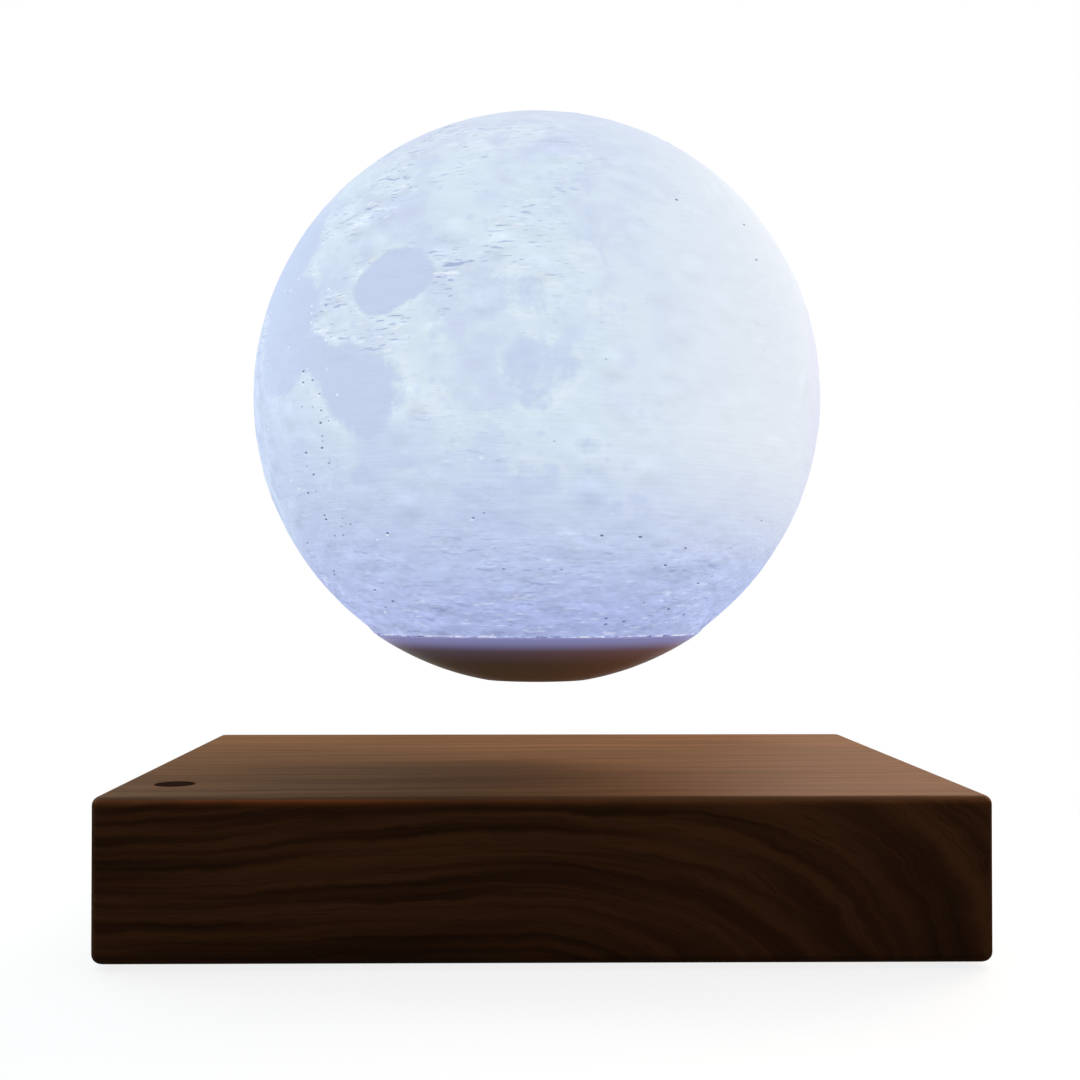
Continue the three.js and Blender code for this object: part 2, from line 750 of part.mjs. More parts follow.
// Moulded cap that closes the ball: magnet cup, bosses and the spigot that the globe sits round
function bottomCap() {
  const flatLevel = capFlat - globeRadius;
  const flatRadius = Math.sqrt(globeRadius ** 2 - flatLevel ** 2);
  const innerFlat = flatLevel + capWall;
  const innerFlatRadius = Math.sqrt(capInner ** 2 - innerFlat ** 2);
  const shoulder = rimLevel - seamGap;
  const shoulderRadius = Math.sqrt(globeRadius ** 2 - shoulder ** 2);
  const ledgeRadius = cupInner - ledgeWidth;
  const profile = [
    [0, flatLevel],
    ...lowerArc(globeRadius, flatRadius, shoulderRadius, capSteps),
    [spigotOuter, shoulder],
    [spigotOuter, spigotTop],
    [spigotInner, spigotTop],
    ...lowerArc(capInner, spigotInner, cupOuter, floorSteps),
    [cupOuter, cupTop],
    [cupInner, cupTop],
    [cupInner, ledgeLevelInCap],
    [ledgeRadius, ledgeLevelInCap],
    ...lowerArc(capInner, ledgeRadius, innerFlatRadius, 1),
    [0, innerFlat],
  ];
  const bossFloor = levelAt(capInner, bossCircle) - capWall / 2;
  const holeDepth = lampScrewLength + seatGap;
  const added = bossPlaces.map(([x, y]) =>
    rod(bossRadius, spigotTop - bossFloor, { x, y, bottom: bossFloor }),
  );
  const removed = bossPlaces.map(([x, y]) =>
    rod(lampScrewShankRadius + sideGap, holeDepth + overrun, { x, y, bottom: spigotTop - holeDepth }),
  );
  const body = carve(turned(profile, globeSides), { added, removed });
  return named("bottom_cap", body, finish.capPlastic);
}

function floatMagnet() {
  const body = rod(floatMagnetRadius, floatMagnetHeight, { sides: globeSides });
  return named("float_magnet", body, finish.magnetNickel, 0, 0, floatMagnetBottom);
}

function receiver() {
  const bottom = levelAt(capInner, receiverOuter) + seatGap;
  const coil = washer(receiverOuter, receiverInner, receiverHeight);
  const shield = rod(receiverOuter, ferriteThickness, { sides: ringSides });
  return [
    named("receiver_coil", coil, finish.copperWire, 0, 0, bottom),
    named("ferrite_disc", shield, finish.ferrite, 0, 0, ferriteBottom),
  ];
}

// Lamp board with its rectifier and capacitor, its lights and its screws
function lamp() {
  const lift = lampBoardThickness / 2;
  const rise = lampBoardThickness - lift;
  const rectifier = block(rectifierSide, rectifierSide, rectifierHeight + rise, {
    y: -(canRadius + rectifierSide / 2),
    bottom: lift,
  });
  const can = rod(canRadius, canHeight + rise, { y: canRadius, bottom: lift });
  const blank = rod(lampBoardRadius, lampBoardThickness, { sides: ringSides });
  const removed = bossPlaces.map(([x, y]) =>
    rod(lampScrewShankRadius + sideGap, lampBoardThickness + 2 * overrun, { x, y, bottom: -overrun }),
  );
  const body = carve(blank, { added: [rectifier, can], removed });
  const board = named("lamp_board", body, finish.whiteBoard, 0, 0, lampBoardBottom);
  const lightPlaces = around(lightCount, lampBoardRadius - lightInset, Math.PI / lightCount);
  const lights = lightPlaces.map(([x, y, turn], i) => {
    const light = block(lightSide, lightSide, lightHeight);
    const mesh = named(`light_${i + 1}`, light, finish.lightPhosphor, x, y, lampBoardTop + seatGap);
    mesh.rotation.z = turn;
    return mesh;
  });
  const screws = bossPlaces.map(([x, y], i) => {
    const screw = screwGeometry(
      lampScrewHeadRadius, lampScrewHeadHeight, lampScrewShankRadius, lampScrewLength,
    ).rotateX(Math.PI);
    return named(`lamp_screw_${i + 1}`, screw, finish.screwSteel, x, y, lampBoardTop + seatGap);
  });
  return [board, ...lights, ...screws];
}

const levitationModule = new THREE.Group();
levitationModule.add(magnetCarrier(), ...ringMagnets(), yokeRing(), ...electromagnets());
levitationModule.add(...fieldSensors(), transmitterCoil());

const base = new THREE.Group();
base.add(woodBase(), bottomCover(), ...coverScrews(), ...feet());
base.add(controlBoard(), ...capacitors(), ...powerInlet(), ...touchKey(), levitationModule);

const ball = new THREE.Group();
ball.position.z = globeCentre;
ball.add(globe(), bottomCap(), floatMagnet(), ...receiver(), ...lamp());

const floatingLamp = new THREE.Group();
floatingLamp.add(base, ball);

export default floatingLamp;
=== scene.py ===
import json
import math

import bpy
import numpy as np
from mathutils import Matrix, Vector

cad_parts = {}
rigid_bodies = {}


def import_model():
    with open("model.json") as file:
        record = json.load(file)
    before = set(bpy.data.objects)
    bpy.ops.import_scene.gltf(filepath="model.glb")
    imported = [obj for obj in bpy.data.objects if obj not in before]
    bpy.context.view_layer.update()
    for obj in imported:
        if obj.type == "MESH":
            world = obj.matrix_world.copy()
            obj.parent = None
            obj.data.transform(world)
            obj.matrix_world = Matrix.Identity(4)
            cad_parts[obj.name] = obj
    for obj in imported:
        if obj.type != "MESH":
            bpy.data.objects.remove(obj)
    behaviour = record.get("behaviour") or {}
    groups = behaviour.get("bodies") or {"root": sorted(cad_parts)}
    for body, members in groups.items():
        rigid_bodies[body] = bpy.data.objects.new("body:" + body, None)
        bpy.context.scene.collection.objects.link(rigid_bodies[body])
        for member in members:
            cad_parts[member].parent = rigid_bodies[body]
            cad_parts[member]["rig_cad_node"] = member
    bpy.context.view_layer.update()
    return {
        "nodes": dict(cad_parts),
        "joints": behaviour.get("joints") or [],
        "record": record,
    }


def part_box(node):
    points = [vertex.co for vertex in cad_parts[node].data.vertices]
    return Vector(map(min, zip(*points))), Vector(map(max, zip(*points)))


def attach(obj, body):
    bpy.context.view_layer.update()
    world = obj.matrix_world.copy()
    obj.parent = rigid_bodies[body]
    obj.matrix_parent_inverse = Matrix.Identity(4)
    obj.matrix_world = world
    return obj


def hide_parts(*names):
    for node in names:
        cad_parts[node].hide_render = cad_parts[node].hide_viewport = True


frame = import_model()

# Levitating globe lamp, dressed: a lit printed moon with a brown cap floats over a walnut block.
# Lengths are in metres, in the frame of the CAD model.

MM = 0.001

# Camera, as in the photograph: nearly level, in front, a little left of the lamp's middle
CAMERA_RIGHT = -8.1 * MM
CAMERA_DISTANCE = 330.2 * MM
CAMERA_OVER_WOOD = 39.6 * MM
CAMERA_UP_DEGREES = 0.69
CAMERA_TURN_DEGREES = -0.66
LENS_MM = 45.0
SENSOR_MM = 36.0
SHIFT_RIGHT_SHARE = 0.0199
SHIFT_UP_SHARE = 0.0380

# Places of the CAD pieces
wood_low, wood_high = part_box("wood_base")
globe_low, globe_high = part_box("moon_globe")
cap_low, cap_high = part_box("bottom_cap")
cover_low, cover_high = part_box("bottom_cover")
magnet_low, magnet_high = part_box("float_magnet")
pad_low, pad_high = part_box("touch_electrode")
dot_middle = (pad_low + pad_high) / 2
jack_low, jack_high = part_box("dc_jack")
coil_low, coil_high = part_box("transmitter_coil")
spin_joint = next(joint for joint in frame["joints"] if joint["name"] == "moon_spin")
globe_centre = Vector(spin_joint["pos_m"])
globe_radius = globe_high.z - globe_centre.z

# Wooden block
WOOD_CORNER = 2.5 * MM
WOOD_TOP_ROUND = 1.8 * MM
WOOD_BOTTOM_ROUND = 2.0 * MM
WOOD_WALL = 6.0 * MM
POCKET_CORNER = 8.0 * MM
REBATE = 2.5 * MM
FIT = 0.3 * MM
RECESS_MARGIN = 3.0 * MM
INLET_RADIUS = 5.5 * MM
CUT_OVERRUN = 1.0 * MM

# Touch dot, plain and dark, let into the wood
DOT_RADIUS = 4.2 * MM
DOT_DEPTH = 0.6 * MM
DOT_CROWN = 0.08 * MM
DOT_GAP = 0.12 * MM

# The round of the feet's lower edge
FOOT_EDGE = 0.5 * MM

# Globe and cap
GLOBE_WALL = 2.0 * MM
GLOBE_SEGMENTS = 320
GLOBE_RINGS = 168
CAP_WALL = 1.8 * MM
CAP_STEPS = 128
SPIGOT_WALL = 1.6 * MM
FRONT_LONGITUDE = 86.0  # the lunar longitude, in degrees east, that faces the camera


# Mesh tools

def deselect_all():
    bpy.ops.object.select_all(action="DESELECT")


def make_active(piece):
    deselect_all()
    piece.select_set(True)
    bpy.context.view_layer.objects.active = piece


def edit(piece):
    make_active(piece)
    bpy.ops.object.mode_set(mode="EDIT")
    bpy.ops.mesh.select_mode(type="EDGE")
    bpy.ops.mesh.select_all(action="DESELECT")


def leave_edit():
    bpy.ops.object.mode_set(mode="OBJECT")


def select_edges(piece, wanted):
    """Selects the edges of a piece in edit mode whose two ends pass a test."""
    bpy.ops.mesh.select_all(action="DESELECT")
    leave_edit()
    points = piece.data.vertices
    for edge in piece.data.edges:
        start, end = (points[i].co for i in edge.vertices)
        edge.select = wanted(start, end)
    bpy.ops.object.mode_set(mode="EDIT")


def apply_place(piece):
    make_active(piece)
    bpy.ops.object.transform_apply(location=True, rotation=True, scale=True)


def apply_modifiers(piece):
    make_active(piece)
    for modifier in list(piece.modifiers):
        bpy.ops.object.modifier_apply(modifier=modifier.name)


def smooth(piece, angle=30.0):
    make_active(piece)
    bpy.ops.object.shade_smooth_by_angle(angle=math.radians(angle))


def rounded_box(name, low, high, corner, top_round=0.0, bottom_round=0.0, segments=8):
    """A cube stretched between two corners, its upright edges and its rims rounded by bevels."""
    deselect_all()
    bpy.ops.mesh.primitive_cube_add(size=1.0, location=(low + high) / 2)
    piece = bpy.context.object
    piece.name = name
    piece.scale = high - low
    apply_place(piece)
    edit(piece)
    select_edges(piece, lambda a, b: abs(a.z - b.z) > (high.z - low.z) / 2)
    bpy.ops.mesh.bevel(offset=corner, segments=segments, affect="EDGES")
    for level, radius in ((high.z, top_round), (low.z, bottom_round)):
        if radius > 0:
            select_edges(piece, lambda a, b: abs(a.z - level) + abs(b.z - level) < 1e-6)
            bpy.ops.mesh.bevel(offset=radius, segments=segments // 2 + 1, affect="EDGES")
    leave_edit()
    return piece


def round_cutter(radius, low, high, axis="Z", vertices=64):
    """A cylinder between two points on a line along Z or Y."""
    deselect_all()
    turn = (math.pi / 2, 0, 0) if axis == "Y" else (0, 0, 0)
    bpy.ops.mesh.primitive_cylinder_add(
        vertices=vertices, radius=radius, depth=(high - low).length, location=(low + high) / 2, rotation=turn
    )
    cutter = bpy.context.object
    apply_place(cutter)
    return cutter


def combine(piece, tool, operation):
    """Cuts a tool from a piece or joins it on, and removes the tool."""
    modifier = piece.modifiers.new("boolean", "BOOLEAN")
    modifier.operation = operation
    modifier.solver = "EXACT"
    modifier.object = tool
    apply_modifiers(piece)
    bpy.data.objects.remove(tool)


def revolve(name, profile, steps, middle=(0.0, 0.0)):
    """Extrudes a point along a profile of (radius, height) and spins it round an upright axis."""
    deselect_all()
    bpy.ops.mesh.primitive_plane_add(size=MM)
    piece = bpy.context.object
    piece.name = name
    bpy.ops.object.mode_set(mode="EDIT")
    bpy.ops.mesh.select_mode(type="VERT")
    bpy.ops.mesh.select_all(action="SELECT")
    bpy.ops.mesh.merge(type="CENTER")
    x, y = middle
    radius, height = profile[0]
    bpy.ops.transform.translate(value=(x + radius, y, height))
    for next_radius, next_height in profile[1:]:
        move = {"value": (next_radius - radius, 0, next_height - height)}
        bpy.ops.mesh.extrude_vertices_move(TRANSFORM_OT_translate=move)
        radius, height = next_radius, next_height
    bpy.ops.mesh.select_all(action="SELECT")
    bpy.ops.mesh.spin(steps=steps, angle=2 * math.pi, center=(x, y, 0), axis=(0, 0, 1))
    bpy.ops.mesh.select_all(action="SELECT")
    bpy.ops.mesh.remove_doubles(threshold=1e-6)
    bpy.ops.mesh.normals_make_consistent(inside=False)
    leave_edit()
    return piece


def arc(radius, start, end, steps, middle=(0.0, 0.0)):
    """Profile points on an arc between two angles in degrees, measured up from the horizontal."""
    angles = np.radians(np.linspace(start, end, steps + 1))
    return [(middle[0] + radius * math.cos(a), middle[1] + radius * math.sin(a)) for a in angles]


# Node tools

class Finish:
    """A node material with short calls for the nodes that the lamp's finishes use."""

    def __init__(self, name, color, roughness, metallic=0.0, specular=0.5):
        self.material = bpy.data.materials.new(name)
        self.material.use_nodes = True
        self.tree = self.material.node_tree
        self.shader = self.tree.nodes["Principled BSDF"]
        self.put("Base Color", (*color, 1.0))
        self.put("Roughness", roughness)
        self.put("Metallic", metallic)
        self.put("Specular IOR Level", specular)
        self.place = self.node("ShaderNodeTexCoord").outputs["Object"]

    def put(self, socket, value):
        """Sets or links one of the shader's own sockets."""
        self.feed(self.shader.inputs[socket], value)

    def feed(self, socket, value):
        if isinstance(value, bpy.types.NodeSocket):
            self.tree.links.new(value, socket)
        else:
            socket.default_value = value

    def node(self, kind, inputs=None, **settings):
        node = self.tree.nodes.new(kind)
        for setting, value in settings.items():
            setattr(node, setting, value)
        for socket, value in (inputs or {}).items():
            self.feed(node.inputs[socket], value)
        return node

    def math(self, operation, first, second=0.0, clamp=False):
        inputs = {0: first, 1: second}
        return self.node("ShaderNodeMath", inputs, operation=operation, use_clamp=clamp).outputs[0]

    def times(self, first, *others):
        for other in others:
            first = self.math("MULTIPLY", first, other)
        return first

    def plus(self, first, *others):
        for other in others:
            first = self.math("ADD", first, other)
        return first

    def minus(self, first, second):
        return self.math("SUBTRACT", first, second)

    def length(self, vector):
        return self.node("ShaderNodeVectorMath", {0: vector}, operation="LENGTH").outputs["Value"]

    def spread(self, value, low, high, to_low=0.0, to_high=1.0):
        """Maps a range smoothly onto another, held at both ends."""
        inputs = {0: value, 1: low, 2: high, 3: to_low, 4: to_high}
        return self.node("ShaderNodeMapRange", inputs, interpolation_type="SMOOTHSTEP").outputs[0]

    def mix(self, factor, first, second, blend="MIX"):
        node = self.node("ShaderNodeMix", data_type="RGBA", blend_type=blend)
        self.feed(node.inputs["Factor"], factor)
        self.feed(node.inputs["A"], first)
        self.feed(node.inputs["B"], second)
        return node.outputs["Result"]

    def join(self, x, y, z):
        return self.node("ShaderNodeCombineXYZ", {0: x, 1: y, 2: z}).outputs[0]

    def split(self, vector):
        return self.node("ShaderNodeSeparateXYZ", {0: vector}).outputs

    def stretch(self, vector, scale, move=(0.0, 0.0, 0.0)):
        inputs = {"Vector": vector, "Scale": scale, "Location": move}
        return self.node("ShaderNodeMapping", inputs).outputs[0]

    def noise(self, vector, scale, detail=2.0, roughness=0.5):
        inputs = {"Vector": vector, "Scale": scale, "Detail": detail, "Roughness": roughness}
        return self.node("ShaderNodeTexNoise", inputs).outputs["Fac"]

    def cloud(self, vector, scale):
        """Three noises at once, to push a pattern about."""
        inputs = {"Vector": vector, "Scale": scale, "Detail": 2.0}
        return self.node("ShaderNodeTexNoise", inputs).outputs["Color"]

    def cells(self, vector, scale, randomness=1.0):
        """The distance to the nearest cell's middle, and a random number for each cell."""
        inputs = {"Vector": vector, "Scale": scale, "Randomness": randomness}
        node = self.node("ShaderNodeTexVoronoi", inputs, feature="F1")
        return node.outputs["Distance"], self.split(node.outputs["Color"])[0]

    def attribute(self, name):
        return self.node("ShaderNodeAttribute", attribute_name=name).outputs["Fac"]

    def bump(self, height, distance, strength=1.0):
        inputs = {"Height": height, "Distance": distance, "Strength": strength}
        self.put("Normal", self.node("ShaderNodeBump", inputs).outputs[0])


def srgb(red, green, blue):
    """A colour as it shows on screen, 0 to 255, in the linear numbers that shaders take."""
    shares = np.array([red, green, blue]) / 255.0
    linear = np.where(shares <= 0.04045, shares / 12.92, ((shares + 0.055) / 1.055) ** 2.4)
    return tuple(float(value) for value in linear)


def rgba(red, green, blue):
    return (*srgb(red, green, blue), 1.0)


# Walnut: the middle and the outlines of the arched figure on the front and back
FIGURE_X = 0.0
FIGURE_Z = -2.0 * MM
FIGURE_STRETCH = 2.2
INNER_ARCH = 18.0 * MM
OUTER_ARCH = 48.0 * MM
INNER_POWER = 1.9  # the exponent of the arch's outline: 2 is an ellipse, and more is squarer
OUTER_POWER = 3.4
FIGURE_SLOPE = 0.05  # how much the lines fall to the left of the arches
TOP_SLOPE = 0.06

# The grain: how far the rings sway and fray, how wide a band is and how far it runs
RING_SWAY = 9.0 * MM
RING_FRAY = 2.6 * MM
GRAIN_BAND = 2.5 * MM
GRAIN_RUN = 75.0 * MM
GRAIN_RELIEF = 0.05 * MM

# Colours of the wood, and where its painted top light and its painted edge highlight begin and end
WALNUT_DARK = (0.036, 0.0150, 0.0068, 1.0)
WALNUT_LIGHT = (0.180, 0.070, 0.0270, 1.0)
EDGE_HIGHLIGHT_RED = (0.270, 0.076, 0.020, 1.0)
WALNUT_PORE = (0.018, 0.009, 0.005, 1.0)
# Painted light on the top: a painted sheen, cooler on the left, and lighter over the globe's shadow in the
# middle
TOP_LEFT_LIGHT_TINT = (0.96, 1.23, 1.44, 1.0)
TOP_RIGHT_LIGHT_TINT = (0.97, 1.07, 1.10, 1.0)
MIDDLE_LIGHT_TINT = (1.30, 1.68, 2.08, 1.0)
SIDE_TINT_X = 65.0 * MM
MIDDLE_LIGHT_EDGE = 70.0 * MM
MIDDLE_LIGHT_FULL = 15.0 * MM
# A painted highlight along the top edge of the sides: how far down it reaches, where it is full, and where
# it is strongest and weakest
EDGE_HIGHLIGHT_REACH = 2.6 * MM
EDGE_HIGHLIGHT_FULL = 0.3 * MM
HIGHLIGHT_MOST_X = -20.0 * MM
HIGHLIGHT_LEAST_X = 30.0 * MM


def growth_rings(wood, on_top, on_side):
    """How far out each point lies: arches on the front and back, long lines on the top and the ends."""
    x, y, z = wood.split(wood.place)
    past = wood.math("MAXIMUM", wood.minus(x, FIGURE_X), 0.0)
    across = wood.math("DIVIDE", past, FIGURE_STRETCH)
    up = wood.math("MAXIMUM", wood.minus(z, FIGURE_Z), 0.0)
    away = wood.length(wood.join(across, up, 0.0))
    power = wood.spread(away, INNER_ARCH, OUTER_ARCH, INNER_POWER, OUTER_POWER)
    sum_of_powers = wood.plus(wood.math("POWER", across, power), wood.math("POWER", up, power))
    arch = wood.math("POWER", sum_of_powers, wood.math("DIVIDE", 1.0, power))
    drop = wood.times(wood.minus(FIGURE_X, x), FIGURE_SLOPE)
    front = wood.plus(arch, wood.math("MAXIMUM", drop, 0.0))
    top = wood.minus(y, wood.times(x, TOP_SLOPE))

    def choose(share, first, second):
        return wood.plus(wood.times(first, wood.minus(1.0, share)), wood.times(second, share))

    ring = choose(on_side, choose(on_top, front, top), z)
    sway = wood.noise(wood.stretch(wood.place, (11.0, 11.0, 26.0)), 1.0, 2.0, 0.4)
    fray = wood.noise(wood.stretch(wood.place, (70.0, 70.0, 150.0)), 1.0, 3.0, 0.6)
    sway = wood.times(wood.minus(sway, 0.5), RING_SWAY)
    return wood.plus(ring, sway, wood.times(wood.minus(fray, 0.5), RING_FRAY))


def walnut_finish():
    wood = Finish("walnut", (0.12, 0.05, 0.019), 0.55, specular=0.0)
    wood.put("Coat Weight", 0.05)
    wood.put("Coat Roughness", 0.42)
    x, y, z = wood.split(wood.place)
    normal = wood.node("ShaderNodeNewGeometry").outputs["Normal"]
    normal_x, _, normal_z = (wood.math("ABSOLUTE", part) for part in wood.split(normal))
    on_top = wood.spread(normal_z, 0.55, 0.85)
    on_side = wood.spread(normal_x, 0.55, 0.85)
    ring = growth_rings(wood, on_top, on_side)

    def streaks(band, run, detail):
        """Noise that is drawn out along the rings."""
        spot = wood.join(
            wood.math("DIVIDE", ring, band), wood.math("DIVIDE", x, run), wood.math("DIVIDE", y, run)
        )
        return wood.noise(spot, 1.0, detail, 0.55)

    # Bands, veins and pores, all fainter on the top
    bands = wood.spread(streaks(GRAIN_BAND, GRAIN_RUN, 1.0), 0.32, 0.68)
    veins = wood.spread(streaks(GRAIN_BAND / 2.6, GRAIN_RUN / 2.0, 2.0), 0.36, 0.64)
    pores = wood.spread(streaks(GRAIN_BAND / 12, GRAIN_RUN / 8, 1.0), 0.60, 0.74)
    cloud = wood.noise(wood.stretch(wood.place, (11.0, 11.0, 18.0)), 1.0, 3.0)
    calm = wood.minus(1.0, wood.times(on_top, 0.62))
    figure = wood.plus(wood.times(bands, 0.62), wood.times(veins, 0.24))
    figure = wood.times(wood.minus(figure, 0.43), calm)
    tone = wood.math("ADD", wood.plus(figure, 0.35), wood.times(cloud, 0.28), clamp=True)
    colour = wood.mix(tone, WALNUT_DARK, WALNUT_LIGHT)
    colour = wood.mix(wood.times(pores, calm, 0.35), colour, WALNUT_PORE)

    # Painted light on the top: a painted sheen makes it paler, most of all in its middle where it lifts the
    # globe's shadow, and cooler light makes it less red on the left
    outward = wood.length(wood.join(x, y, 0.0))
    middle = wood.spread(outward, MIDDLE_LIGHT_EDGE, MIDDLE_LIGHT_FULL)
    pale = wood.mix(wood.spread(x, -SIDE_TINT_X, SIDE_TINT_X), TOP_LEFT_LIGHT_TINT, TOP_RIGHT_LIGHT_TINT)
    pale = wood.mix(middle, pale, MIDDLE_LIGHT_TINT)
    colour = wood.mix(on_top, colour, wood.mix(1.0, colour, pale, "MULTIPLY"))

    # Painted highlight along the rounded top edge of the sides: paler and redder, in patches, more so on the
    # left
    edge = wood.spread(wood.minus(wood_high.z, z), EDGE_HIGHLIGHT_REACH, EDGE_HIGHLIGHT_FULL)
    edge = wood.times(edge, wood.minus(1.0, on_top))
    highlight_patches = wood.spread(wood.noise(wood.place, 30.0, 3.0), 0.38, 0.60, 0.35, 0.9)
    highlight_patches = wood.times(highlight_patches, wood.spread(x, HIGHLIGHT_MOST_X, HIGHLIGHT_LEAST_X, 1.0, 0.25))
    wood.put("Base Color", wood.mix(wood.times(edge, highlight_patches), colour, EDGE_HIGHLIGHT_RED))
    wood.put("Roughness", wood.spread(tone, 0.0, 1.0, 0.58, 0.46))
    relief = wood.minus(wood.times(veins, 0.4), pores)
    wood.bump(wood.times(relief, calm), GRAIN_RELIEF, 0.5)
    return wood.material


# Colours of the lit globe
GLOW_HIGHLAND = rgba(215, 230, 243)
GLOW_CLOUD = rgba(204, 217, 240)
GLOW_MARE = rgba(197, 211, 237)
GLOW_SHORE = rgba(221, 235, 246)
GLOW_LOW = rgba(186, 199, 233)
GLOW_FOOT = rgba(170, 181, 226)
GLOW_FLANK = rgba(190, 202, 242)
GLOW_RIGHT = rgba(229, 235, 244)
GLOW_LEFT = rgba(203, 217, 248)
GLOW_TOP = rgba(213, 220, 239)
GLOW_RIGHT_RIM_SHEEN = rgba(220, 220, 242)
GLOW_WHITE = rgba(240, 247, 254)
GLOW_BAND = rgba(214, 229, 250)
GLOW_SHADE = rgba(150, 163, 205)
GLOW_PIT = rgba(84, 86, 140)
GLOW_STRENGTH = 0.985

# Steps over which each kind of relief is taken as rising or falling, and how much that shades the glow
SWELL_STEP = (0.0, 0.0, 0.85 * MM)
LAYER_STEP = (0.0, 0.0, 0.35 * MM)
DASH_STEP = (0.0, 0.0, 0.22 * MM)
LUMP_STEP = (0.0, 0.0, 0.60 * MM)
RIDGE_STEP = (0.5 * MM, -1.0 * MM, 0.6 * MM)
SWELL_SHADE = 0.42
RIDGE_SHADE = 0.80

# The print's layers and pinholes in depth, where its front half begins, and its rough rim over the cap
PRINT_RELIEF = 0.10 * MM
FRONT_FADE = 10.0 * MM
ROUGH_RIM_FULL = 0.15 * MM
ROUGH_RIM_END = 0.50 * MM


class MoonFinish(Finish):
    """The lit print, painted in steps. Right and height run from -1 to 1 across the globe."""

    def __init__(self):
        super().__init__("printed_moon", (0.030, 0.032, 0.038), 0.6, specular=0.0)
        self.put("Coat Weight", 0.04)
        self.put("Coat Roughness", 0.45)
        x, y, z = self.split(self.place)
        self.right = self.math("DIVIDE", x, globe_radius)
        self.height = self.math("DIVIDE", self.minus(z, globe_centre.z), globe_radius)
        self.in_front = self.spread(y, 0.0, -FRONT_FADE)
        self.over_rim = self.minus(z, globe_low.z)

        # Plains with ragged shores, and the bright ground beside them
        self.mare = self.attribute("mare")
        mottle = self.minus(self.noise(self.place, 170.0, 7.0, 0.68), 0.5)
        self.cover = self.spread(self.plus(self.mare, self.times(mottle, 1.7)), 0.22, 0.68)
        self.patch = self.noise(self.place, 70.0, 7.0, 0.62)
        halo = self.times(self.spread(self.mare, 0.0, 0.25), self.minus(1.0, self.cover))
        self.halo = self.times(halo, self.spread(self.patch, 0.56, 0.46))

        self.paint_ground()
        self.paint_tones()
        self.find_rugged_ground()
        self.raise_relief()
        self.raise_left_limb()
        self.scatter_dots()
        self.roughen_rim()
        self.put("Emission Color", self.colour)
        self.put("Emission Strength", self.times(self.level, GLOW_STRENGTH))
        self.bump(self.minus(self.layers, self.pits), PRINT_RELIEF, 0.5)

    def paint(self, share, colour):
        self.colour = self.mix(share, self.colour, colour)

    def slope_noise(self, scale, detail, step):
        """How much a noise changes along a short step: each lump gets a dark side and a light one."""
        shift = tuple(part * share for part, share in zip(step, scale))
        here = self.noise(self.stretch(self.place, scale), 1.0, detail, 0.55)
        return self.minus(here, self.noise(self.stretch(self.place, scale, shift), 1.0, detail, 0.55))

    def bowls(self, space, scale, radius, bare):
        """Round soft spots, one in each cell that isn't left bare."""
        distance, pick = self.cells(space, scale)
        near = self.spread(distance, radius, radius * 0.6)
        return self.times(near, self.math("GREATER_THAN", pick, bare))

    def dots(self, shift, bare, where, more):
        """Small flat spots in random cells: a share of them stays bare, and fewer where more are wanted."""
        distance, pick = self.cells(self.stretch(self.place, (500.0, 500.0, 1000.0), shift), 1.0)
        picked = self.math("GREATER_THAN", pick, self.minus(bare, self.times(where, more)))
        return self.times(self.spread(distance, 0.30, 0.14), picked)

    def shade_and_highlight_edges(self, slope, where, faint, full, glare):
        """Painted shade and highlight on short raised edges at the steepest places: shade where they fall,
        highlight where they rise.
        """
        shade = self.times(self.spread(slope, faint, full), where)
        self.paint(self.times(shade, 0.75), GLOW_SHADE)
        bright = self.times(self.spread(slope, -faint, -full), where)
        self.paint(self.times(bright, glare), GLOW_WHITE)

    def paint_ground(self):
        """Clouds and craters over the highlands, the dark plains and their bright shores."""
        calm_right = self.spread(self.right, 0.10, 0.60, 1.0, 0.35)
        cloudy = self.times(self.spread(self.patch, 0.42, 0.66), calm_right)
        self.colour = self.mix(cloudy, GLOW_HIGHLAND, GLOW_CLOUD)
        space = self.stretch(self.place, (100.0, 100.0, 100.0))
        space = self.mix(0.10, space, self.cloud(self.place, 220.0), "ADD")
        small_bowls = self.bowls(space, 2.9, 0.30, 0.62)
        craters = self.math("MAXIMUM", self.bowls(space, 1.0, 0.34, 0.50), small_bowls)
        self.paint(self.times(craters, calm_right, 0.6), GLOW_CLOUD)
        depth = self.spread(self.mare, 0.05, 0.8, 0.32, 1.0)
        self.paint(self.times(self.cover, depth), GLOW_MARE)
        self.paint(self.times(self.halo, 0.8), GLOW_SHORE)

    def paint_tones(self):
        """The lamp's light, with painted light: paler and warmer on the right as if lit from there, a
        painted sheen along the right limb, blue on the left, deeper towards the foot.
        """
        # Painted light on the right side, and a painted sheen along the right limb
        self.paint(self.spread(self.right, 0.05, 0.75, 0.0, 0.9), GLOW_RIGHT)
        self.paint(self.spread(self.right, 0.82, 1.0, 0.0, 0.9), GLOW_RIGHT_RIM_SHEEN)
        self.paint(self.spread(self.right, -0.55, -1.0, 0.0, 0.7), GLOW_LEFT)
        self.paint(self.spread(self.height, 0.60, 1.0, 0.0, 0.75), GLOW_TOP)
        slanted = self.plus(self.height, self.times(self.right, 0.10))
        self.paint(self.spread(slanted, -0.12, -0.64, 0.0, 0.9), GLOW_LOW)
        self.paint(self.spread(self.height, -0.50, -0.80, 0.0, 0.95), GLOW_FOOT)
        flank = self.spread(self.math("ABSOLUTE", self.right), 0.22, 0.55, 0.0, 0.55)
        self.paint(self.times(flank, self.spread(self.height, -0.50, -0.72)), GLOW_FLANK)

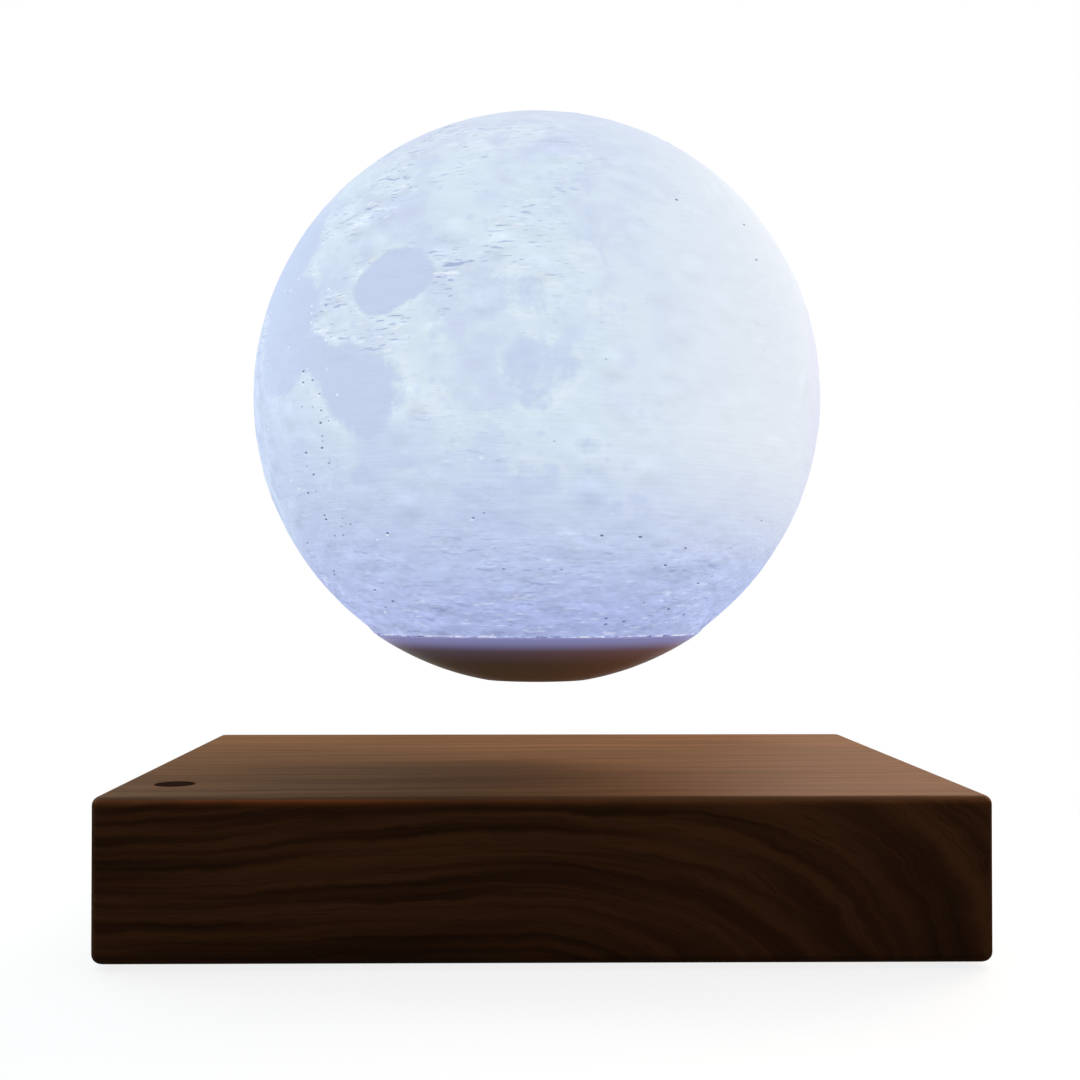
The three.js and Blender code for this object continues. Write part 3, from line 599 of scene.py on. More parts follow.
    def find_rugged_ground(self):
        """Where the print is rugged: the highlands, most on the left, at the shores and low down."""
        region = self.noise(self.place, 60.0, 4.0, 0.6)
        highlands = self.spread(region, 0.47, 0.60, 0.04, 1.0)
        high_ground = self.math("MAXIMUM", highlands, self.times(self.halo, 0.9))
        high_ground = self.times(high_ground, self.spread(self.right, -0.25, 0.30, 1.0, 0.12))
        high_ground = self.times(high_ground, self.spread(self.height, 0.12, -0.06, 1.0, 0.30))
        self.low = self.spread(self.height, -0.36, -0.70)
        foothills = self.times(self.low, self.spread(region, 0.44, 0.56, 0.35, 1.0))
        land = self.minus(1.0, self.times(self.cover, 0.9))
        self.rugged = self.times(self.math("MAXIMUM", high_ground, foothills), land)

    def raise_relief(self):
        """Painted shade and highlight of the relief, in the glow: the mesh's own slopes, soft swells, the
        print's thin layers, and sharp edges of two sizes.
        """
        calm_right = self.spread(self.right, 0.10, 0.60, 1.0, 0.45)
        glow = self.plus(self.times(self.minus(self.attribute("glow"), 1.0), calm_right), 1.0)
        swells = self.slope_noise((130.0, 130.0, 215.0), 3.0, SWELL_STEP)
        swelling = self.plus(self.rugged, 0.25, self.times(self.low, 1.5))
        relief = self.times(swells, self.times(swelling, -SWELL_SHADE))
        self.layers = self.slope_noise((90.0, 90.0, 1500.0), 2.0, LAYER_STEP)
        streaks = self.times(self.layers, self.spread(self.height, 0.10, -0.60, 0.03, 0.13))
        self.level = self.plus(glow, relief, streaks)
        glare = self.spread(self.height, -0.20, -0.62, 0.70, 0.30)
        dashes = self.slope_noise((290.0, 290.0, 1300.0), 1.0, DASH_STEP)
        self.shade_and_highlight_edges(dashes, self.rugged, 0.11, 0.18, glare)
        lumps = self.slope_noise((170.0, 170.0, 460.0), 2.0, LUMP_STEP)
        self.shade_and_highlight_edges(lumps, self.times(self.rugged, 0.9), 0.11, 0.17, glare)

    def raise_left_limb(self):
        """A rugged highland round the left limb, which shows from in front as painted shade and highlight on
        its edges, with pale bands on its peaks.
        """
        limb = self.times(self.spread(self.right, -0.74, -0.92), self.spread(self.height, 0.25, -0.15))
        limb = self.times(limb, self.spread(self.height, -0.85, -0.60))
        peaks = self.spread(self.noise(self.place, 75.0, 4.0, 0.55), 0.44, 0.56)
        self.paint(self.times(peaks, limb, 0.70), GLOW_BAND)
        ridges = self.slope_noise((110.0, 110.0, 110.0), 4.0, RIDGE_STEP)
        self.level = self.plus(self.level, self.times(ridges, limb, -RIDGE_SHADE))
        self.shade_and_highlight_edges(ridges, self.times(limb, 0.90), 0.13, 0.23, 0.8)

    def scatter_dots(self):
        """Glints, most of them on the left shore of the great plain, and pinholes, most in a chain."""
        shore = self.times(self.spread(self.mare, 0.0, 0.10), self.spread(self.mare, 0.95, 0.60))
        shore = self.times(shore, self.spread(self.right, -0.58, -0.68))
        shore = self.times(shore, self.spread(self.right, -0.95, -0.88))
        shore = self.times(shore, self.in_front, self.spread(self.height, 0.42, 0.30))
        glints = self.dots((0.15, 0.0, 0.40), 0.988, shore, 0.28)
        glints = self.times(glints, self.spread(self.right, 0.1, -0.6, 0.25, 1.0))
        self.paint(self.times(glints, 0.9), GLOW_WHITE)

        beside_chain = self.plus(self.right, self.times(self.height, 0.16), 0.722)
        chain = self.spread(self.math("ABSOLUTE", beside_chain), 0.08, 0.03)
        chain = self.times(chain, self.in_front, self.spread(self.height, 0.06, -0.03))
        chain = self.times(chain, self.spread(self.height, -0.54, -0.46))
        bare = self.spread(self.height, -0.35, -0.85, 0.996, 0.955)
        self.pits = self.dots((0.0, 0.0, 0.0), bare, chain, 0.20)
        self.paint(self.times(self.pits, 0.85), GLOW_PIT)

    def roughen_rim(self):
        """Beads and nicks where the print starts, at the cap."""
        chips = self.noise(self.stretch(self.place, (300.0, 300.0, 1400.0)), 1.0, 3.0, 0.7)
        near_rim = self.spread(self.over_rim, ROUGH_RIM_END, ROUGH_RIM_FULL)
        self.paint(self.times(near_rim, self.spread(chips, 0.50, 0.60, 0.0, 0.7)), GLOW_WHITE)
        self.paint(self.times(near_rim, self.spread(chips, 0.47, 0.40, 0.0, 0.8)), GLOW_PIT)


# The cap's painted side light, and how far below its seam its painted glow turns from mauve to brown and
# fades
CAP_LEFT_LIGHT_TINT = (0.66, 0.97, 1.06, 1.0)
CAP_RIGHT_LIGHT_TINT = (1.16, 1.05, 0.84, 1.0)
CAP_TINT_BELOW = (1.0 * MM, 4.5 * MM)
CAP_GLOW_TO_MAUVE = (0.4 * MM, 3.6 * MM)
CAP_GLOW_TO_BROWN = (2.4 * MM, 7.0 * MM)
CAP_GLOW_FADE = (1.0 * MM, 10.0 * MM)


def cap_finish():
    """Brown satin plastic, lit by painted light from the right and painted as glowing: the globe's light
    under its upper edge, fading to a brown glow over the rest.
    """
    cap = Finish("brown_satin_plastic", srgb(112, 84, 70), 0.45, specular=0.2)
    x, _, z = cap.split(cap.place)
    below = cap.minus(globe_low.z, z)
    cloud = cap.noise(cap.place, 60.0, 4.0)
    # Painted light: below the seam, the right side warmer and paler and the left cooler, as if lit from the
    # right
    side_light_tint = cap.mix(cap.spread(x, -0.5 * globe_radius, 0.5 * globe_radius), CAP_LEFT_LIGHT_TINT, CAP_RIGHT_LIGHT_TINT)
    side_light_tint = cap.mix(cap.spread(below, *CAP_TINT_BELOW), (1.0, 1.0, 1.0, 1.0), side_light_tint)
    brown = cap.mix(cloud, rgba(102, 74, 60), rgba(120, 92, 78))
    cap.put("Base Color", cap.mix(1.0, brown, side_light_tint, "MULTIPLY"))
    # Painted glow: the cap emits light, mauve under the seam and brown below, never under about half
    # strength
    painted_cap_glow = cap.mix(cap.spread(below, *CAP_GLOW_TO_MAUVE), rgba(122, 126, 174), rgba(78, 60, 72))
    painted_cap_glow = cap.mix(cap.spread(below, *CAP_GLOW_TO_BROWN), painted_cap_glow, rgba(58, 42, 34))
    cap.put("Emission Color", cap.mix(1.0, painted_cap_glow, side_light_tint, "MULTIPLY"))
    cap.put("Emission Strength", cap.spread(below, *CAP_GLOW_FADE, 0.95, 0.52))
    cap.bump(cap.noise(cap.place, 2600.0, 2.0), 0.02 * MM, 0.4)
    return cap.material


def burnt_finish():
    """Wood scorched nearly black, dull and slightly rough."""
    burnt = Finish("burnt_dot", srgb(34, 22, 16), 0.8, specular=0.0)
    grain = burnt.noise(burnt.stretch(burnt.place, (300.0, 2400.0, 2400.0)), 1.0, 3.0)
    burnt.put("Base Color", burnt.mix(grain, rgba(24, 15, 11), rgba(46, 30, 21)))
    burnt.bump(grain, 0.08 * MM, 0.6)
    return burnt.material


def plain_finish(name, color, roughness, metallic=0.0, grain=1800.0, depth=0.03 * MM, vary=0.12):
    """A moulded or machined surface: an even colour with slight clouds and a fine texture."""
    part = Finish(name, color, roughness, metallic)
    darker = tuple(value * (1.0 - vary) for value in color)
    lighter = tuple(min(value * (1.0 + vary), 1.0) for value in color)
    cloud = part.noise(part.place, 90.0, 4.0)
    part.put("Base Color", part.mix(cloud, (*darker, 1.0), (*lighter, 1.0)))
    fine = part.noise(part.place, grain, 2.0)
    part.put("Roughness", part.spread(fine, 0.3, 0.7, roughness - 0.06, roughness + 0.06))
    part.bump(fine, depth, 0.5)
    return part.material


def wound_finish():
    """Enamelled copper wire, wound in fine turns."""
    wire = Finish("copper_winding", srgb(176, 96, 52), 0.32, 1.0)
    wave = wire.node("ShaderNodeTexWave", {"Vector": wire.place, "Scale": 700.0}, bands_direction="Z")
    wire.put("Base Color", wire.mix(wave.outputs["Fac"], rgba(120, 58, 30), rgba(196, 112, 62)))
    wire.bump(wave.outputs["Fac"], 0.08 * MM, 0.7)
    return wire.material


def board_finish(name, mask, trace):
    """Circuit board: solder mask with slightly raised traces."""
    board = Finish(name, mask, 0.4, specular=0.5)
    grid = board.node(
        "ShaderNodeTexBrick", {"Vector": board.place, "Scale": 160.0, "Mortar Size": 0.09}, offset=0.37
    )
    lines = grid.outputs["Fac"]
    board.put("Base Color", board.mix(lines, (*mask, 1.0), (*trace, 1.0)))
    board.bump(lines, 0.03 * MM, 0.5)
    return board.material


def light_finish():
    glow = Finish("light_phosphor", srgb(246, 214, 108), 0.35)
    speck = glow.noise(glow.place, 2400.0, 2.0)
    glow.put("Emission Color", glow.mix(speck, rgba(255, 240, 214), rgba(255, 250, 240)))
    glow.put("Emission Strength", 1.0)
    return glow.material


finishes = {
    "walnut": walnut_finish(),
    "globe_plastic": MoonFinish().material,
    "cap_plastic": cap_finish(),
    "cover_plastic": plain_finish("moulded_cover", srgb(30, 30, 31), 0.6),
    "rubber": plain_finish("foot_rubber", srgb(28, 28, 29), 0.85, grain=3200.0),
    "screw_steel": plain_finish("screw_steel", srgb(150, 152, 156), 0.34, 1.0),
    "yoke_steel": plain_finish("yoke_steel", srgb(158, 160, 164), 0.42, 1.0),
    "magnet_nickel": plain_finish("nickel_plate", srgb(198, 200, 201), 0.24, 1.0, depth=0.01 * MM),
    "copper_wire": wound_finish(),
    "bobbin_plastic": plain_finish("bobbin_plastic", srgb(34, 36, 40), 0.5),
    "green_board": board_finish("green_board", srgb(16, 78, 46), srgb(34, 110, 70)),
    "white_board": board_finish("white_board", srgb(228, 230, 229), srgb(206, 208, 206)),
    "jack_plastic": plain_finish("jack_plastic", srgb(22, 22, 23), 0.4),
    "contact_brass": plain_finish("contact_brass", srgb(205, 170, 98), 0.3, 1.0),
    "sensor_resin": plain_finish("sensor_resin", srgb(26, 26, 28), 0.55),
    "capacitor_sleeve": plain_finish("capacitor_sleeve", srgb(30, 44, 78), 0.38),
    "lead_sheath": plain_finish("lead_sheath", srgb(176, 46, 38), 0.5),
    "ferrite": plain_finish("ferrite", srgb(60, 60, 63), 0.7),
    "light_phosphor": light_finish(),
}
dot_finish = burnt_finish()


def dress(piece, slot, material=None):
    """Gives a piece its finish and the slot that it takes it from."""
    piece.data.materials.clear()
    piece.data.materials.append(material or finishes[slot])


for subpart in frame["record"]["subparts"]:
    dress(frame["nodes"][subpart["node"]], subpart["material_slot"])


# The Moon's dark plains: latitude, longitude and radius in degrees, stretch from east to west, depth share
MARIA = (
    (13.2, 57.2, 4.9, 1.15, 1.5), (14.8, 60.2, 4.9, 1.15, 1.5), (-4.6, 52.4, 7.2, 1.3, 0.85),
    (-9.4, 53.0, 4.4, 1.3, 0.7), (0.6, 47.9, 3.5, 2.0, 0.8), (3.6, 40.3, 2.9, 1.7, 0.85),
    (23.4, 22.1, 10.5, 1.2, 0.95), (12.2, 30.4, 8.3, 1.3, 0.95), (2.9, 29.6, 5.7, 1.6, 0.8),
    (10.2, 82.6, 3.3, 1.7, 0.48), (12.8, 78.5, 2.2, 1.4, 0.45), (-2.8, 84.6, 5.2, 1.35, 0.6),
    (-7.7, 84.5, 2.0, 1.8, 0.55), (-17.3, 59.2, 2.1, 2.1, 0.55), (-19.4, 50.9, 2.6, 1.4, 0.55),
    (-20.6, 42.3, 2.4, 1.6, 0.45), (-21.0, 85.0, 4.2, 1.2, 0.45), (-26.1, 103.3, 3.4, 1.4, 0.55),
    (-18.7, 101.1, 2.1, 1.5, 0.4), (-15.0, 93.6, 2.3, 1.3, 0.4), (-28.8, 111.6, 2.4, 1.5, 0.45),
    (-7.3, 68.0, 2.3, 1.4, 0.35), (18.0, 93.8, 2.7, 1.3, 0.3), (4.3, 68.1, 1.7, 1.7, 0.4),
    (8.2, 96.7, 2.4, 1.8, 0.3), (-23.4, 69.2, 1.8, 2.4, 0.4), (-31.5, 123.2, 2.7, 2.4, 0.35),
    (49.4, 78.2, 6.0, 1.8, 0.35), (33.0, -16.0, 19.0, 1.0, 1.0),
    (18.0, -57.0, 20.0, 0.8, 1.0), (-24.0, -39.0, 7.0, 1.0, 1.0), (-21.0, -17.0, 12.0, 1.1, 1.0),
    (-10.0, -23.0, 6.0, 1.2, 1.0), (7.5, -31.0, 8.4, 1.0, 1.0), (13.0, 4.0, 4.0, 1.0, 0.9),
    (56.0, 1.0, 4.5, 6.0, 0.9), (57.0, 81.5, 3.2, 1.3, 0.4), (-45.0, 93.0, 6.0, 1.2, 0.4),
    (-19.0, -93.0, 5.0, 1.0, 0.9), (27.0, 148.0, 4.6, 1.1, 0.9), (-34.0, 163.0, 4.6, 1.0, 0.8),
    (-20.0, 129.0, 3.0, 1.0, 0.8), (51.6, -9.4, 1.8, 1.0, 1.0), (53.9, 57.0, 2.0, 1.0, 0.6),
)
# Great craters: latitude, longitude and radius in degrees
GREAT_CRATERS = (
    (-43.0, -11.0, 3.0), (9.6, -20.0, 2.6), (8.0, -38.0, 1.6), (-8.9, 61.0, 2.2), (-25.0, 60.0, 2.8),
    (-20.0, 129.0, 3.6), (35.7, 79.0, 2.8), (53.9, 57.0, 2.2), (46.0, 44.0, 1.6), (-16.0, 90.0, 2.0),
    (22.0, 103.0, 2.6), (5.0, 110.0, 2.8), (35.0, 103.0, 2.4), (-28.0, 80.0, 1.8), (-37.0, 120.0, 2.6),
    (-33.0, 105.0, 2.0), (-45.0, 77.0, 2.2), (-55.0, 95.0, 2.2),
)

# Small craters: how many, their radii in degrees, and how fast the larger ones grow rarer
CRATER_COUNT = 2600
CRATER_SMALLEST = 0.8
CRATER_LARGEST = 3.0
CRATER_FALL = 2.2
CRATER_SEED = 8

# Shapes of the relief: shares of a crater's radius or depth, and depths into the wall
BOWL_EDGE = 1.0
BOWL_FLOOR = 0.35
RIM_HEIGHT = 0.45
RIM_WIDTH = 0.22
CRATER_DEPTH_SHARE = 0.055
LARGEST_DEPTH = 0.20 * MM
FLOODED = 0.5  # a crater wider than a degree is gone where a plain covers it by more than this
MARE_DEPTH = 0.14 * MM
MARE_CALM = 0.75
SHORE_SWAY = 0.75
SHORE_INSIDE = 0.65
SHORE_OUTSIDE = 1.35
ROUGHNESS_DEPTH = 0.22 * MM
RELIEF_MEAN = 0.60 * MM
RELIEF_LEAST = 0.05 * MM
RIM_FADE = 1.5 * MM

# How much a slope's tilt brightens or darkens the glow, as painted shade and highlight of the relief
TILT_SHARE = 0.80
TILT_BRIGHTEST = 0.10
TILT_DARKEST = 0.12


def direction(latitude, longitude):
    """The unit vector of a place on the Moon, as the globe stands at rest."""
    turn = np.radians(longitude - FRONT_LONGITUDE)
    rise = np.radians(latitude)
    return np.array([np.sin(turn) * np.cos(rise), -np.cos(turn) * np.cos(rise), np.sin(rise)])


def smoothstep(low, high, value):
    share = np.clip((value - low) / (high - low), 0.0, 1.0)
    return share * share * (3.0 - 2.0 * share)


def lattice_noise(points, cells, seed):
    """Smooth noise from 0 to 1: random numbers on a lattice, blended between its points."""
    side = 32
    grid = np.random.default_rng(seed).random((side, side, side))
    spot = points * cells + side
    corner = np.floor(spot).astype(int)
    part = smoothstep(0.0, 1.0, spot - corner)
    total = np.zeros(len(points))
    for step in np.ndindex(2, 2, 2):
        weight = np.prod(np.where(np.array(step) == 1, part, 1.0 - part), axis=1)
        index = (corner + np.array(step)) % side
        total += weight * grid[index[:, 0], index[:, 1], index[:, 2]]
    return total


def fractal_noise(points, cells, octaves, seed):
    total = np.zeros(len(points))
    for octave in range(octaves):
        total += lattice_noise(points, cells * 2.0**octave, seed + octave) * 0.5 ** (octave + 1)
    return total / (1.0 - 0.5**octaves)


def mare_cover(points):
    """How far each point lies in a dark plain, from 0 to 1, with ragged shores."""
    shore = (fractal_noise(points, 4.0, 4, 11) - 0.5) * SHORE_SWAY
    cover = np.zeros(len(points))
    for latitude, longitude, radius, stretch, share in MARIA:
        middle = direction(latitude, longitude)
        east = np.cross([0.0, 0.0, 1.0], middle)
        east /= np.linalg.norm(east)
        north = np.cross(middle, east)
        angle = np.degrees(np.arccos(np.clip(points @ middle, -1.0, 1.0)))
        side = np.hypot(points @ east / stretch, points @ north)
        flat = np.maximum(np.hypot(points @ east, points @ north), 1e-9)
        reach = angle * side / flat / radius + shore
        cover = np.maximum(cover, share * (1.0 - smoothstep(SHORE_INSIDE, SHORE_OUTSIDE, reach)))
    return np.minimum(cover, 1.0)


def crater_list():
    """The great craters, and many small ones at random places from a fixed seed."""
    dice = np.random.default_rng(CRATER_SEED)
    middles = [direction(latitude, longitude) for latitude, longitude, _ in GREAT_CRATERS]
    radii = [radius for *_, radius in GREAT_CRATERS]
    spots = dice.normal(size=(CRATER_COUNT, 3))
    spots /= np.linalg.norm(spots, axis=1, keepdims=True)
    sizes = CRATER_SMALLEST * dice.random(CRATER_COUNT) ** (-1 / CRATER_FALL)
    return np.vstack([middles, spots]), np.concatenate([radii, np.minimum(sizes, CRATER_LARGEST)])


def crater_relief(points, cover):
    """Bowls with raised rims, shallower and fewer on the dark plains."""
    relief = np.zeros(len(points))
    middles, radii = crater_list()
    fill = mare_cover(middles)
    for middle, radius, filled in zip(middles, radii, fill):
        if filled > FLOODED and radius > 1.0:
            continue
        reach = np.radians(radius)
        near = np.flatnonzero(points @ middle > math.cos(2.0 * reach))
        share = np.arccos(np.clip(points[near] @ middle, -1.0, 1.0)) / reach
        depth = min(CRATER_DEPTH_SHARE * reach * globe_radius, LARGEST_DEPTH)
        bowl = -depth * smoothstep(BOWL_EDGE, BOWL_FLOOR, share)
        rim = RIM_HEIGHT * depth * np.exp(-(((share - BOWL_EDGE) / RIM_WIDTH) ** 2))
        relief[near] += bowl + rim
    return relief * (1.0 - MARE_CALM * cover)


def press_relief(mesh):
    """Pushes a sphere's points in by the Moon's relief, and stores where plains lie and the painted shade
    and highlight of the slopes.
    """
    places = np.empty(len(mesh.vertices) * 3)
    mesh.vertices.foreach_get("co", places)
    places = places.reshape(-1, 3)
    outward = places - np.array(globe_centre)
    outward /= np.linalg.norm(outward, axis=1, keepdims=True)
    cover = mare_cover(outward)
    rough = fractal_noise(outward, 16.0, 3, 29) - 1.0
    relief = crater_relief(outward, cover) - MARE_DEPTH * cover + ROUGHNESS_DEPTH * rough * (1.0 - cover)
    relief = np.minimum(relief - relief.mean() - RELIEF_MEAN, -RELIEF_LEAST)
    rim_fade = smoothstep(0.0, RIM_FADE, places[:, 2] - globe_low.z)
    reach = globe_radius + relief * rim_fade
    points = np.array(globe_centre) + outward * reach[:, None]
    on_rim = rim_fade == 0.0
    points[on_rim] = places[on_rim]
    mesh.vertices.foreach_set("co", points.ravel())
    mesh.update()

    normals = np.empty(len(mesh.vertices) * 3)
    mesh.vertex_normals.foreach_get("vector", normals)
    tilt = normals.reshape(-1, 3)[:, 2] - outward[:, 2]
    glow = 1.0 - np.clip(tilt * TILT_SHARE, -TILT_BRIGHTEST, TILT_DARKEST) * rim_fade
    for name, values in (("mare", cover), ("glow", glow)):
        attribute = mesh.attributes.new(name, "FLOAT", "POINT")
        attribute.data.foreach_set("value", values.astype(np.float32))


def moon_globe():
    """Sphere cut at the cap's rim, with the Moon's relief pressed in and a wall inside."""
    deselect_all()
    bpy.ops.mesh.primitive_uv_sphere_add(
        segments=GLOBE_SEGMENTS, ring_count=GLOBE_RINGS, radius=globe_radius, location=globe_centre
    )
    piece = bpy.context.object
    piece.name = "printed_moon"
    apply_place(piece)
    bpy.ops.object.mode_set(mode="EDIT")
    bpy.ops.mesh.select_all(action="SELECT")
    bpy.ops.mesh.bisect(plane_co=(0, 0, globe_low.z), plane_no=(0, 0, 1), clear_inner=True)
    leave_edit()
    press_relief(piece.data)
    wall = piece.modifiers.new("wall", "SOLIDIFY")
    wall.thickness = GLOBE_WALL
    wall.offset = -1.0
    apply_modifiers(piece)
    make_active(piece)
    bpy.ops.object.shade_smooth()
    dress(piece, "globe_plastic")
    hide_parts("moon_globe")
    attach(piece, "moon")
    return piece


def bottom_cap():
    """Dish with a flat underside, a spigot that the globe sits round, and the magnet's cup."""
    seam = globe_low.z - FIT
    seam_down = math.degrees(math.asin((seam - globe_centre.z) / globe_radius))
    flat_down = math.degrees(math.asin((cap_low.z - globe_centre.z) / globe_radius))
    inner = globe_radius - CAP_WALL
    middle = (0.0, globe_centre.z)
    rim_radius = math.sqrt((globe_radius - GLOBE_WALL) ** 2 - (globe_low.z - globe_centre.z) ** 2)
    spigot = rim_radius - FIT
    spigot_inside = spigot - SPIGOT_WALL
    wall_down = -math.degrees(math.acos(spigot_inside / inner))
    cup_radius = (magnet_high.x - magnet_low.x) / 2 + FIT
    cup_down = -math.degrees(math.acos((cup_radius + CAP_WALL) / inner))
    cup_floor = magnet_low.z - FIT
    cup_top = magnet_high.z + FIT
    profile = [(0.0, cap_low.z)]
    profile += arc(globe_radius, flat_down, seam_down, 24, middle)
    profile += [(spigot, seam), (spigot, cap_high.z), (spigot_inside, cap_high.z)]
    profile += arc(inner, wall_down, cup_down, 12, middle)
    profile += [(cup_radius + CAP_WALL, cup_top), (cup_radius, cup_top), (cup_radius, cup_floor)]
    profile += [(0.0, cup_floor)]
    piece = revolve("brown_cap", profile, CAP_STEPS)
    smooth(piece)
    dress(piece, "cap_plastic")
    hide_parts("bottom_cap")
    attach(piece, "moon")
    return piece


def walnut_block():
    """Rounded block, hollowed from below, with the inlet's hole and the seat of the touch dot."""
    block = rounded_box(
        "walnut_block", wood_low, wood_high, WOOD_CORNER, WOOD_TOP_ROUND, WOOD_BOTTOM_ROUND, 10
    )
    below = wood_low.z - CUT_OVERRUN
    ceiling = coil_low.z + FIT
    wall = Vector((WOOD_WALL, WOOD_WALL, 0.0))
    rebate = Vector((WOOD_WALL - REBATE, WOOD_WALL - REBATE, 0.0))

    def hollow(inset, top):
        low = Vector((wood_low.x, wood_low.y, below)) + inset
        high = Vector((wood_high.x, wood_high.y, top)) - inset
        return rounded_box("cutter", low, high, POCKET_CORNER)

    combine(block, hollow(wall, ceiling), "DIFFERENCE")
    combine(block, hollow(rebate, cover_low.z + (cover_high.z - cover_low.z) / 2), "DIFFERENCE")
    recess_radius = coil_high.x + RECESS_MARGIN
    top = coil_high.z + FIT
    recess = round_cutter(recess_radius, Vector((0, 0, ceiling - FIT)), Vector((0, 0, top)), vertices=96)
    combine(block, recess, "DIFFERENCE")
    jack = (jack_low + jack_high) / 2
    hole_start = Vector((jack.x, jack_high.y - CUT_OVERRUN, jack.z))
    hole_end = Vector((jack.x, wood_high.y + CUT_OVERRUN, jack.z))
    combine(block, round_cutter(INLET_RADIUS, hole_start, hole_end, "Y"), "DIFFERENCE")
    seat_low = Vector((dot_middle.x, dot_middle.y, wood_high.z - DOT_DEPTH))
    seat_high = Vector((dot_middle.x, dot_middle.y, wood_high.z + CUT_OVERRUN))
    combine(block, round_cutter(DOT_RADIUS + DOT_GAP, seat_low, seat_high), "DIFFERENCE")
    smooth(block)
    dress(block, "walnut")
    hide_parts("wood_base")
    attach(block, "base")


def touch_dot():
    """A low turned disc in its seat, slightly crowned."""
    bottom = wood_high.z - DOT_DEPTH + DOT_GAP
    profile = [(0.0, bottom), (DOT_RADIUS, bottom)]
    profile += [(DOT_RADIUS, wood_high.z - DOT_CROWN), (DOT_RADIUS - DOT_CROWN, wood_high.z)]
    profile += [(DOT_RADIUS / 2, wood_high.z + DOT_CROWN / 2), (0.0, wood_high.z + DOT_CROWN)]
    dot = revolve("touch_dot", profile, 64, (dot_middle.x, dot_middle.y))
    smooth(dot)
    dress(dot, "walnut", dot_finish)
    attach(dot, "base")


def rubber_feet():
    """Round feet with a softened lower edge: one is turned, and the others are copies of it."""
    boxes = [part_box(f"foot_{number}") for number in range(1, 5)]
    middles = [(low + high) / 2 for low, high in boxes]
    low, high = boxes[0]
    radius = (high.x - low.x) / 2
    profile = [(0.0, low.z), (radius - FOOT_EDGE, low.z)]
    profile += arc(FOOT_EDGE, -70.0, 0.0, 4, (radius - FOOT_EDGE, low.z + FOOT_EDGE))
    profile += [(radius, high.z), (0.0, high.z)]
    first = revolve("rubber_foot_1", profile, 48, (middles[0].x, middles[0].y))
    smooth(first)
    feet = [first]
    for number, middle in enumerate(middles[1:], 2):
        make_active(first)
        bpy.ops.object.duplicate(linked=False)
        foot = bpy.context.object
        foot.name = f"rubber_foot_{number}"
        foot.location = middle - middles[0]
        apply_place(foot)
        feet.append(foot)
    for number, foot in enumerate(feet, 1):
        dress(foot, "rubber")
        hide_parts(f"foot_{number}")
        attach(foot, "base")


# Studio: how strongly the floor shows the lamp's shadow, and how much light the surroundings give
SHADOW_NEAR = 0.12
SHADOW_FAR = 0.24
SHADOW_SHARE = 0.16
WORLD_LIGHT = 0.080


def stage_floor():
    """A wide pale floor: white to the camera, with the lamp's shadow kept near it."""
    deselect_all()
    bpy.ops.mesh.primitive_plane_add(size=80.0)
    floor = bpy.context.object
    floor.name = "floor"
    pale = Finish("pale_floor", (0.07, 0.07, 0.07), 0.9, specular=0.0)
    seen = pale.node("ShaderNodeLightPath").outputs
    through = pale.math("MAXIMUM", seen["Is Glossy Ray"], seen["Is Transmission Ray"])
    shown = pale.math("MAXIMUM", seen["Is Camera Ray"], through)
    kept = pale.spread(pale.length(pale.place), SHADOW_NEAR, SHADOW_FAR, SHADOW_SHARE, 0.0)
    white = pale.node("ShaderNodeEmission", {"Color": (1.0, 1.0, 1.0, 1.0), "Strength": 1.0}).outputs[0]
    lit = pale.node("ShaderNodeBsdfDiffuse", {"Color": (0.9, 0.9, 0.9, 1.0)}).outputs[0]
    shadowed = pale.node("ShaderNodeMixShader", {0: kept, 1: white, 2: lit}).outputs[0]
    both = pale.node("ShaderNodeMixShader", {0: shown, 1: pale.shader.outputs[0], 2: shadowed}).outputs[0]
    pale.feed(pale.tree.nodes["Material Output"].inputs["Surface"], both)
    floor.data.materials.append(pale.material)


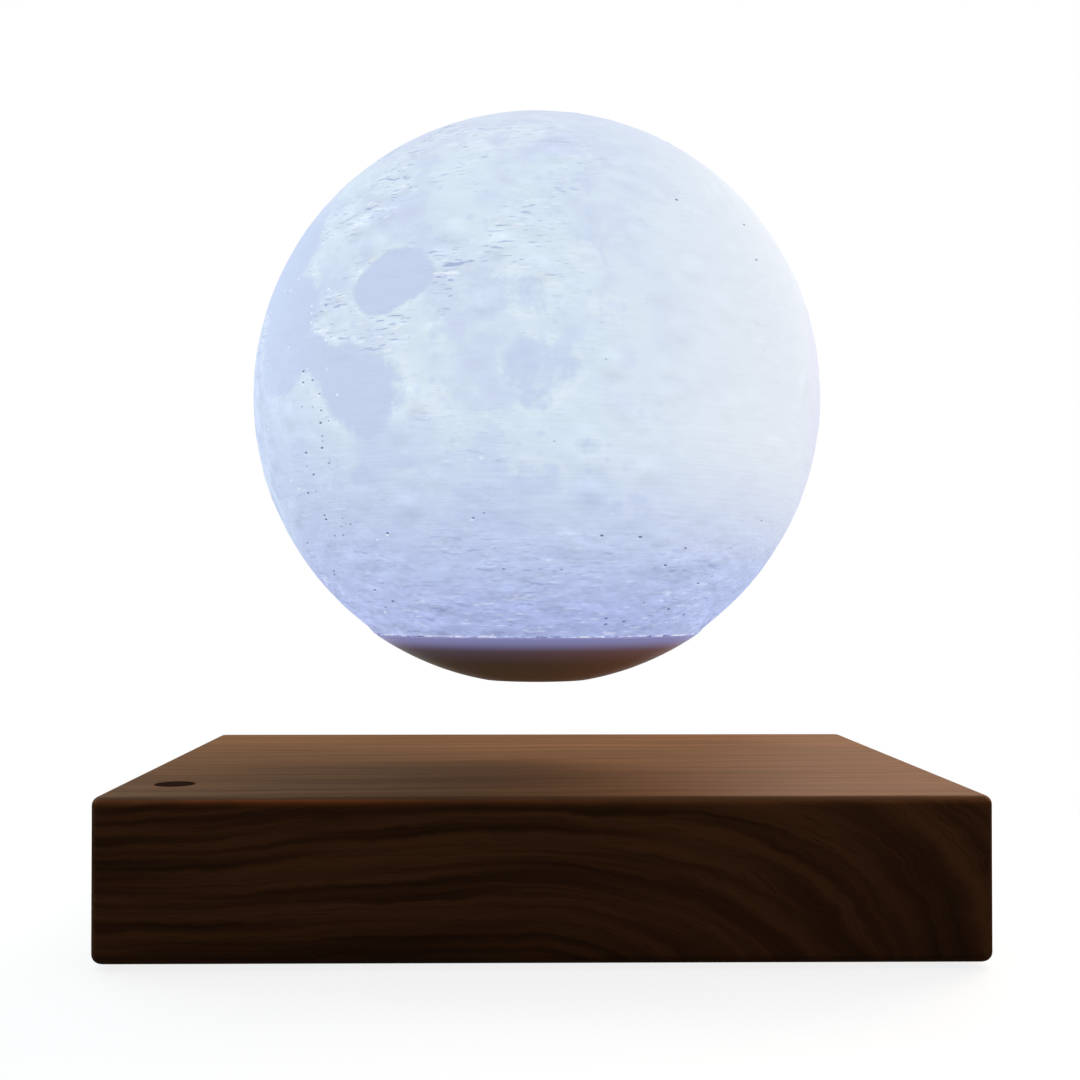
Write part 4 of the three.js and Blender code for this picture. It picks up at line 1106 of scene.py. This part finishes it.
def studio_world():
    """White where it is seen or mirrored, and a weak even light on the object."""
    world = bpy.data.worlds.new("studio")
    world.use_nodes = True
    tree = world.node_tree
    background = tree.nodes["Background"]
    seen = tree.nodes.new("ShaderNodeLightPath").outputs
    through = tree.nodes.new("ShaderNodeMath")
    through.operation = "MAXIMUM"
    tree.links.new(seen["Is Glossy Ray"], through.inputs[0])
    tree.links.new(seen["Is Transmission Ray"], through.inputs[1])
    shown = tree.nodes.new("ShaderNodeMath")
    shown.operation = "MAXIMUM"
    tree.links.new(seen["Is Camera Ray"], shown.inputs[0])
    tree.links.new(through.outputs[0], shown.inputs[1])
    strength = tree.nodes.new("ShaderNodeMapRange")
    strength.inputs["To Min"].default_value = WORLD_LIGHT
    strength.inputs["To Max"].default_value = 1.0
    tree.links.new(shown.outputs[0], strength.inputs["Value"])
    tree.links.new(strength.outputs[0], background.inputs["Strength"])
    background.inputs["Color"].default_value = (1.0, 1.0, 1.0, 1.0)
    bpy.context.scene.world = world


def soft_light(name, place, target, size, power, color=(1.0, 1.0, 1.0)):
    deselect_all()
    bpy.ops.object.light_add(type="AREA", location=place)
    lamp = bpy.context.object
    lamp.name = name
    lamp.data.shape = "RECTANGLE"
    lamp.data.size, lamp.data.size_y = size
    lamp.data.energy = power
    lamp.data.color = color
    lamp.rotation_euler = (target - Vector(place)).to_track_quat("-Z", "Y").to_euler()


def studio_lights():
    """Two large soft lights behind, the stronger on the right, and a faint one overhead."""
    target = Vector((0.0, 0.0, wood_high.z))
    oblong = (1.0, 0.7)
    square = (1.2, 1.2)
    soft_light("right_light", (0.62, 0.80, 0.54), target, size=oblong, power=30.0, color=(1.0, 0.83, 0.66))
    soft_light("left_light", (-0.70, 0.60, 0.60), target, size=oblong, power=9.5, color=(0.82, 1.0, 1.10))
    soft_light("top_light", (0.0, 0.1, 1.2), target, size=square, power=11.0)


def camera():
    deselect_all()
    place = (CAMERA_RIGHT, -CAMERA_DISTANCE, wood_high.z + CAMERA_OVER_WOOD)
    turn = (math.radians(90.0 + CAMERA_UP_DEGREES), 0.0, math.radians(CAMERA_TURN_DEGREES))
    bpy.ops.object.camera_add(location=place, rotation=turn)
    view = bpy.context.object
    view.data.lens = LENS_MM
    view.data.sensor_width = SENSOR_MM
    view.data.shift_x = SHIFT_RIGHT_SHARE
    view.data.shift_y = SHIFT_UP_SHARE
    view.data.clip_start = 10 * MM
    bpy.context.scene.camera = view


camera()
moon_globe()
bottom_cap()
walnut_block()
touch_dot()
rubber_feet()
stage_floor()
studio_world()
studio_lights()
bpy.context.scene.view_settings.view_transform = "Standard"
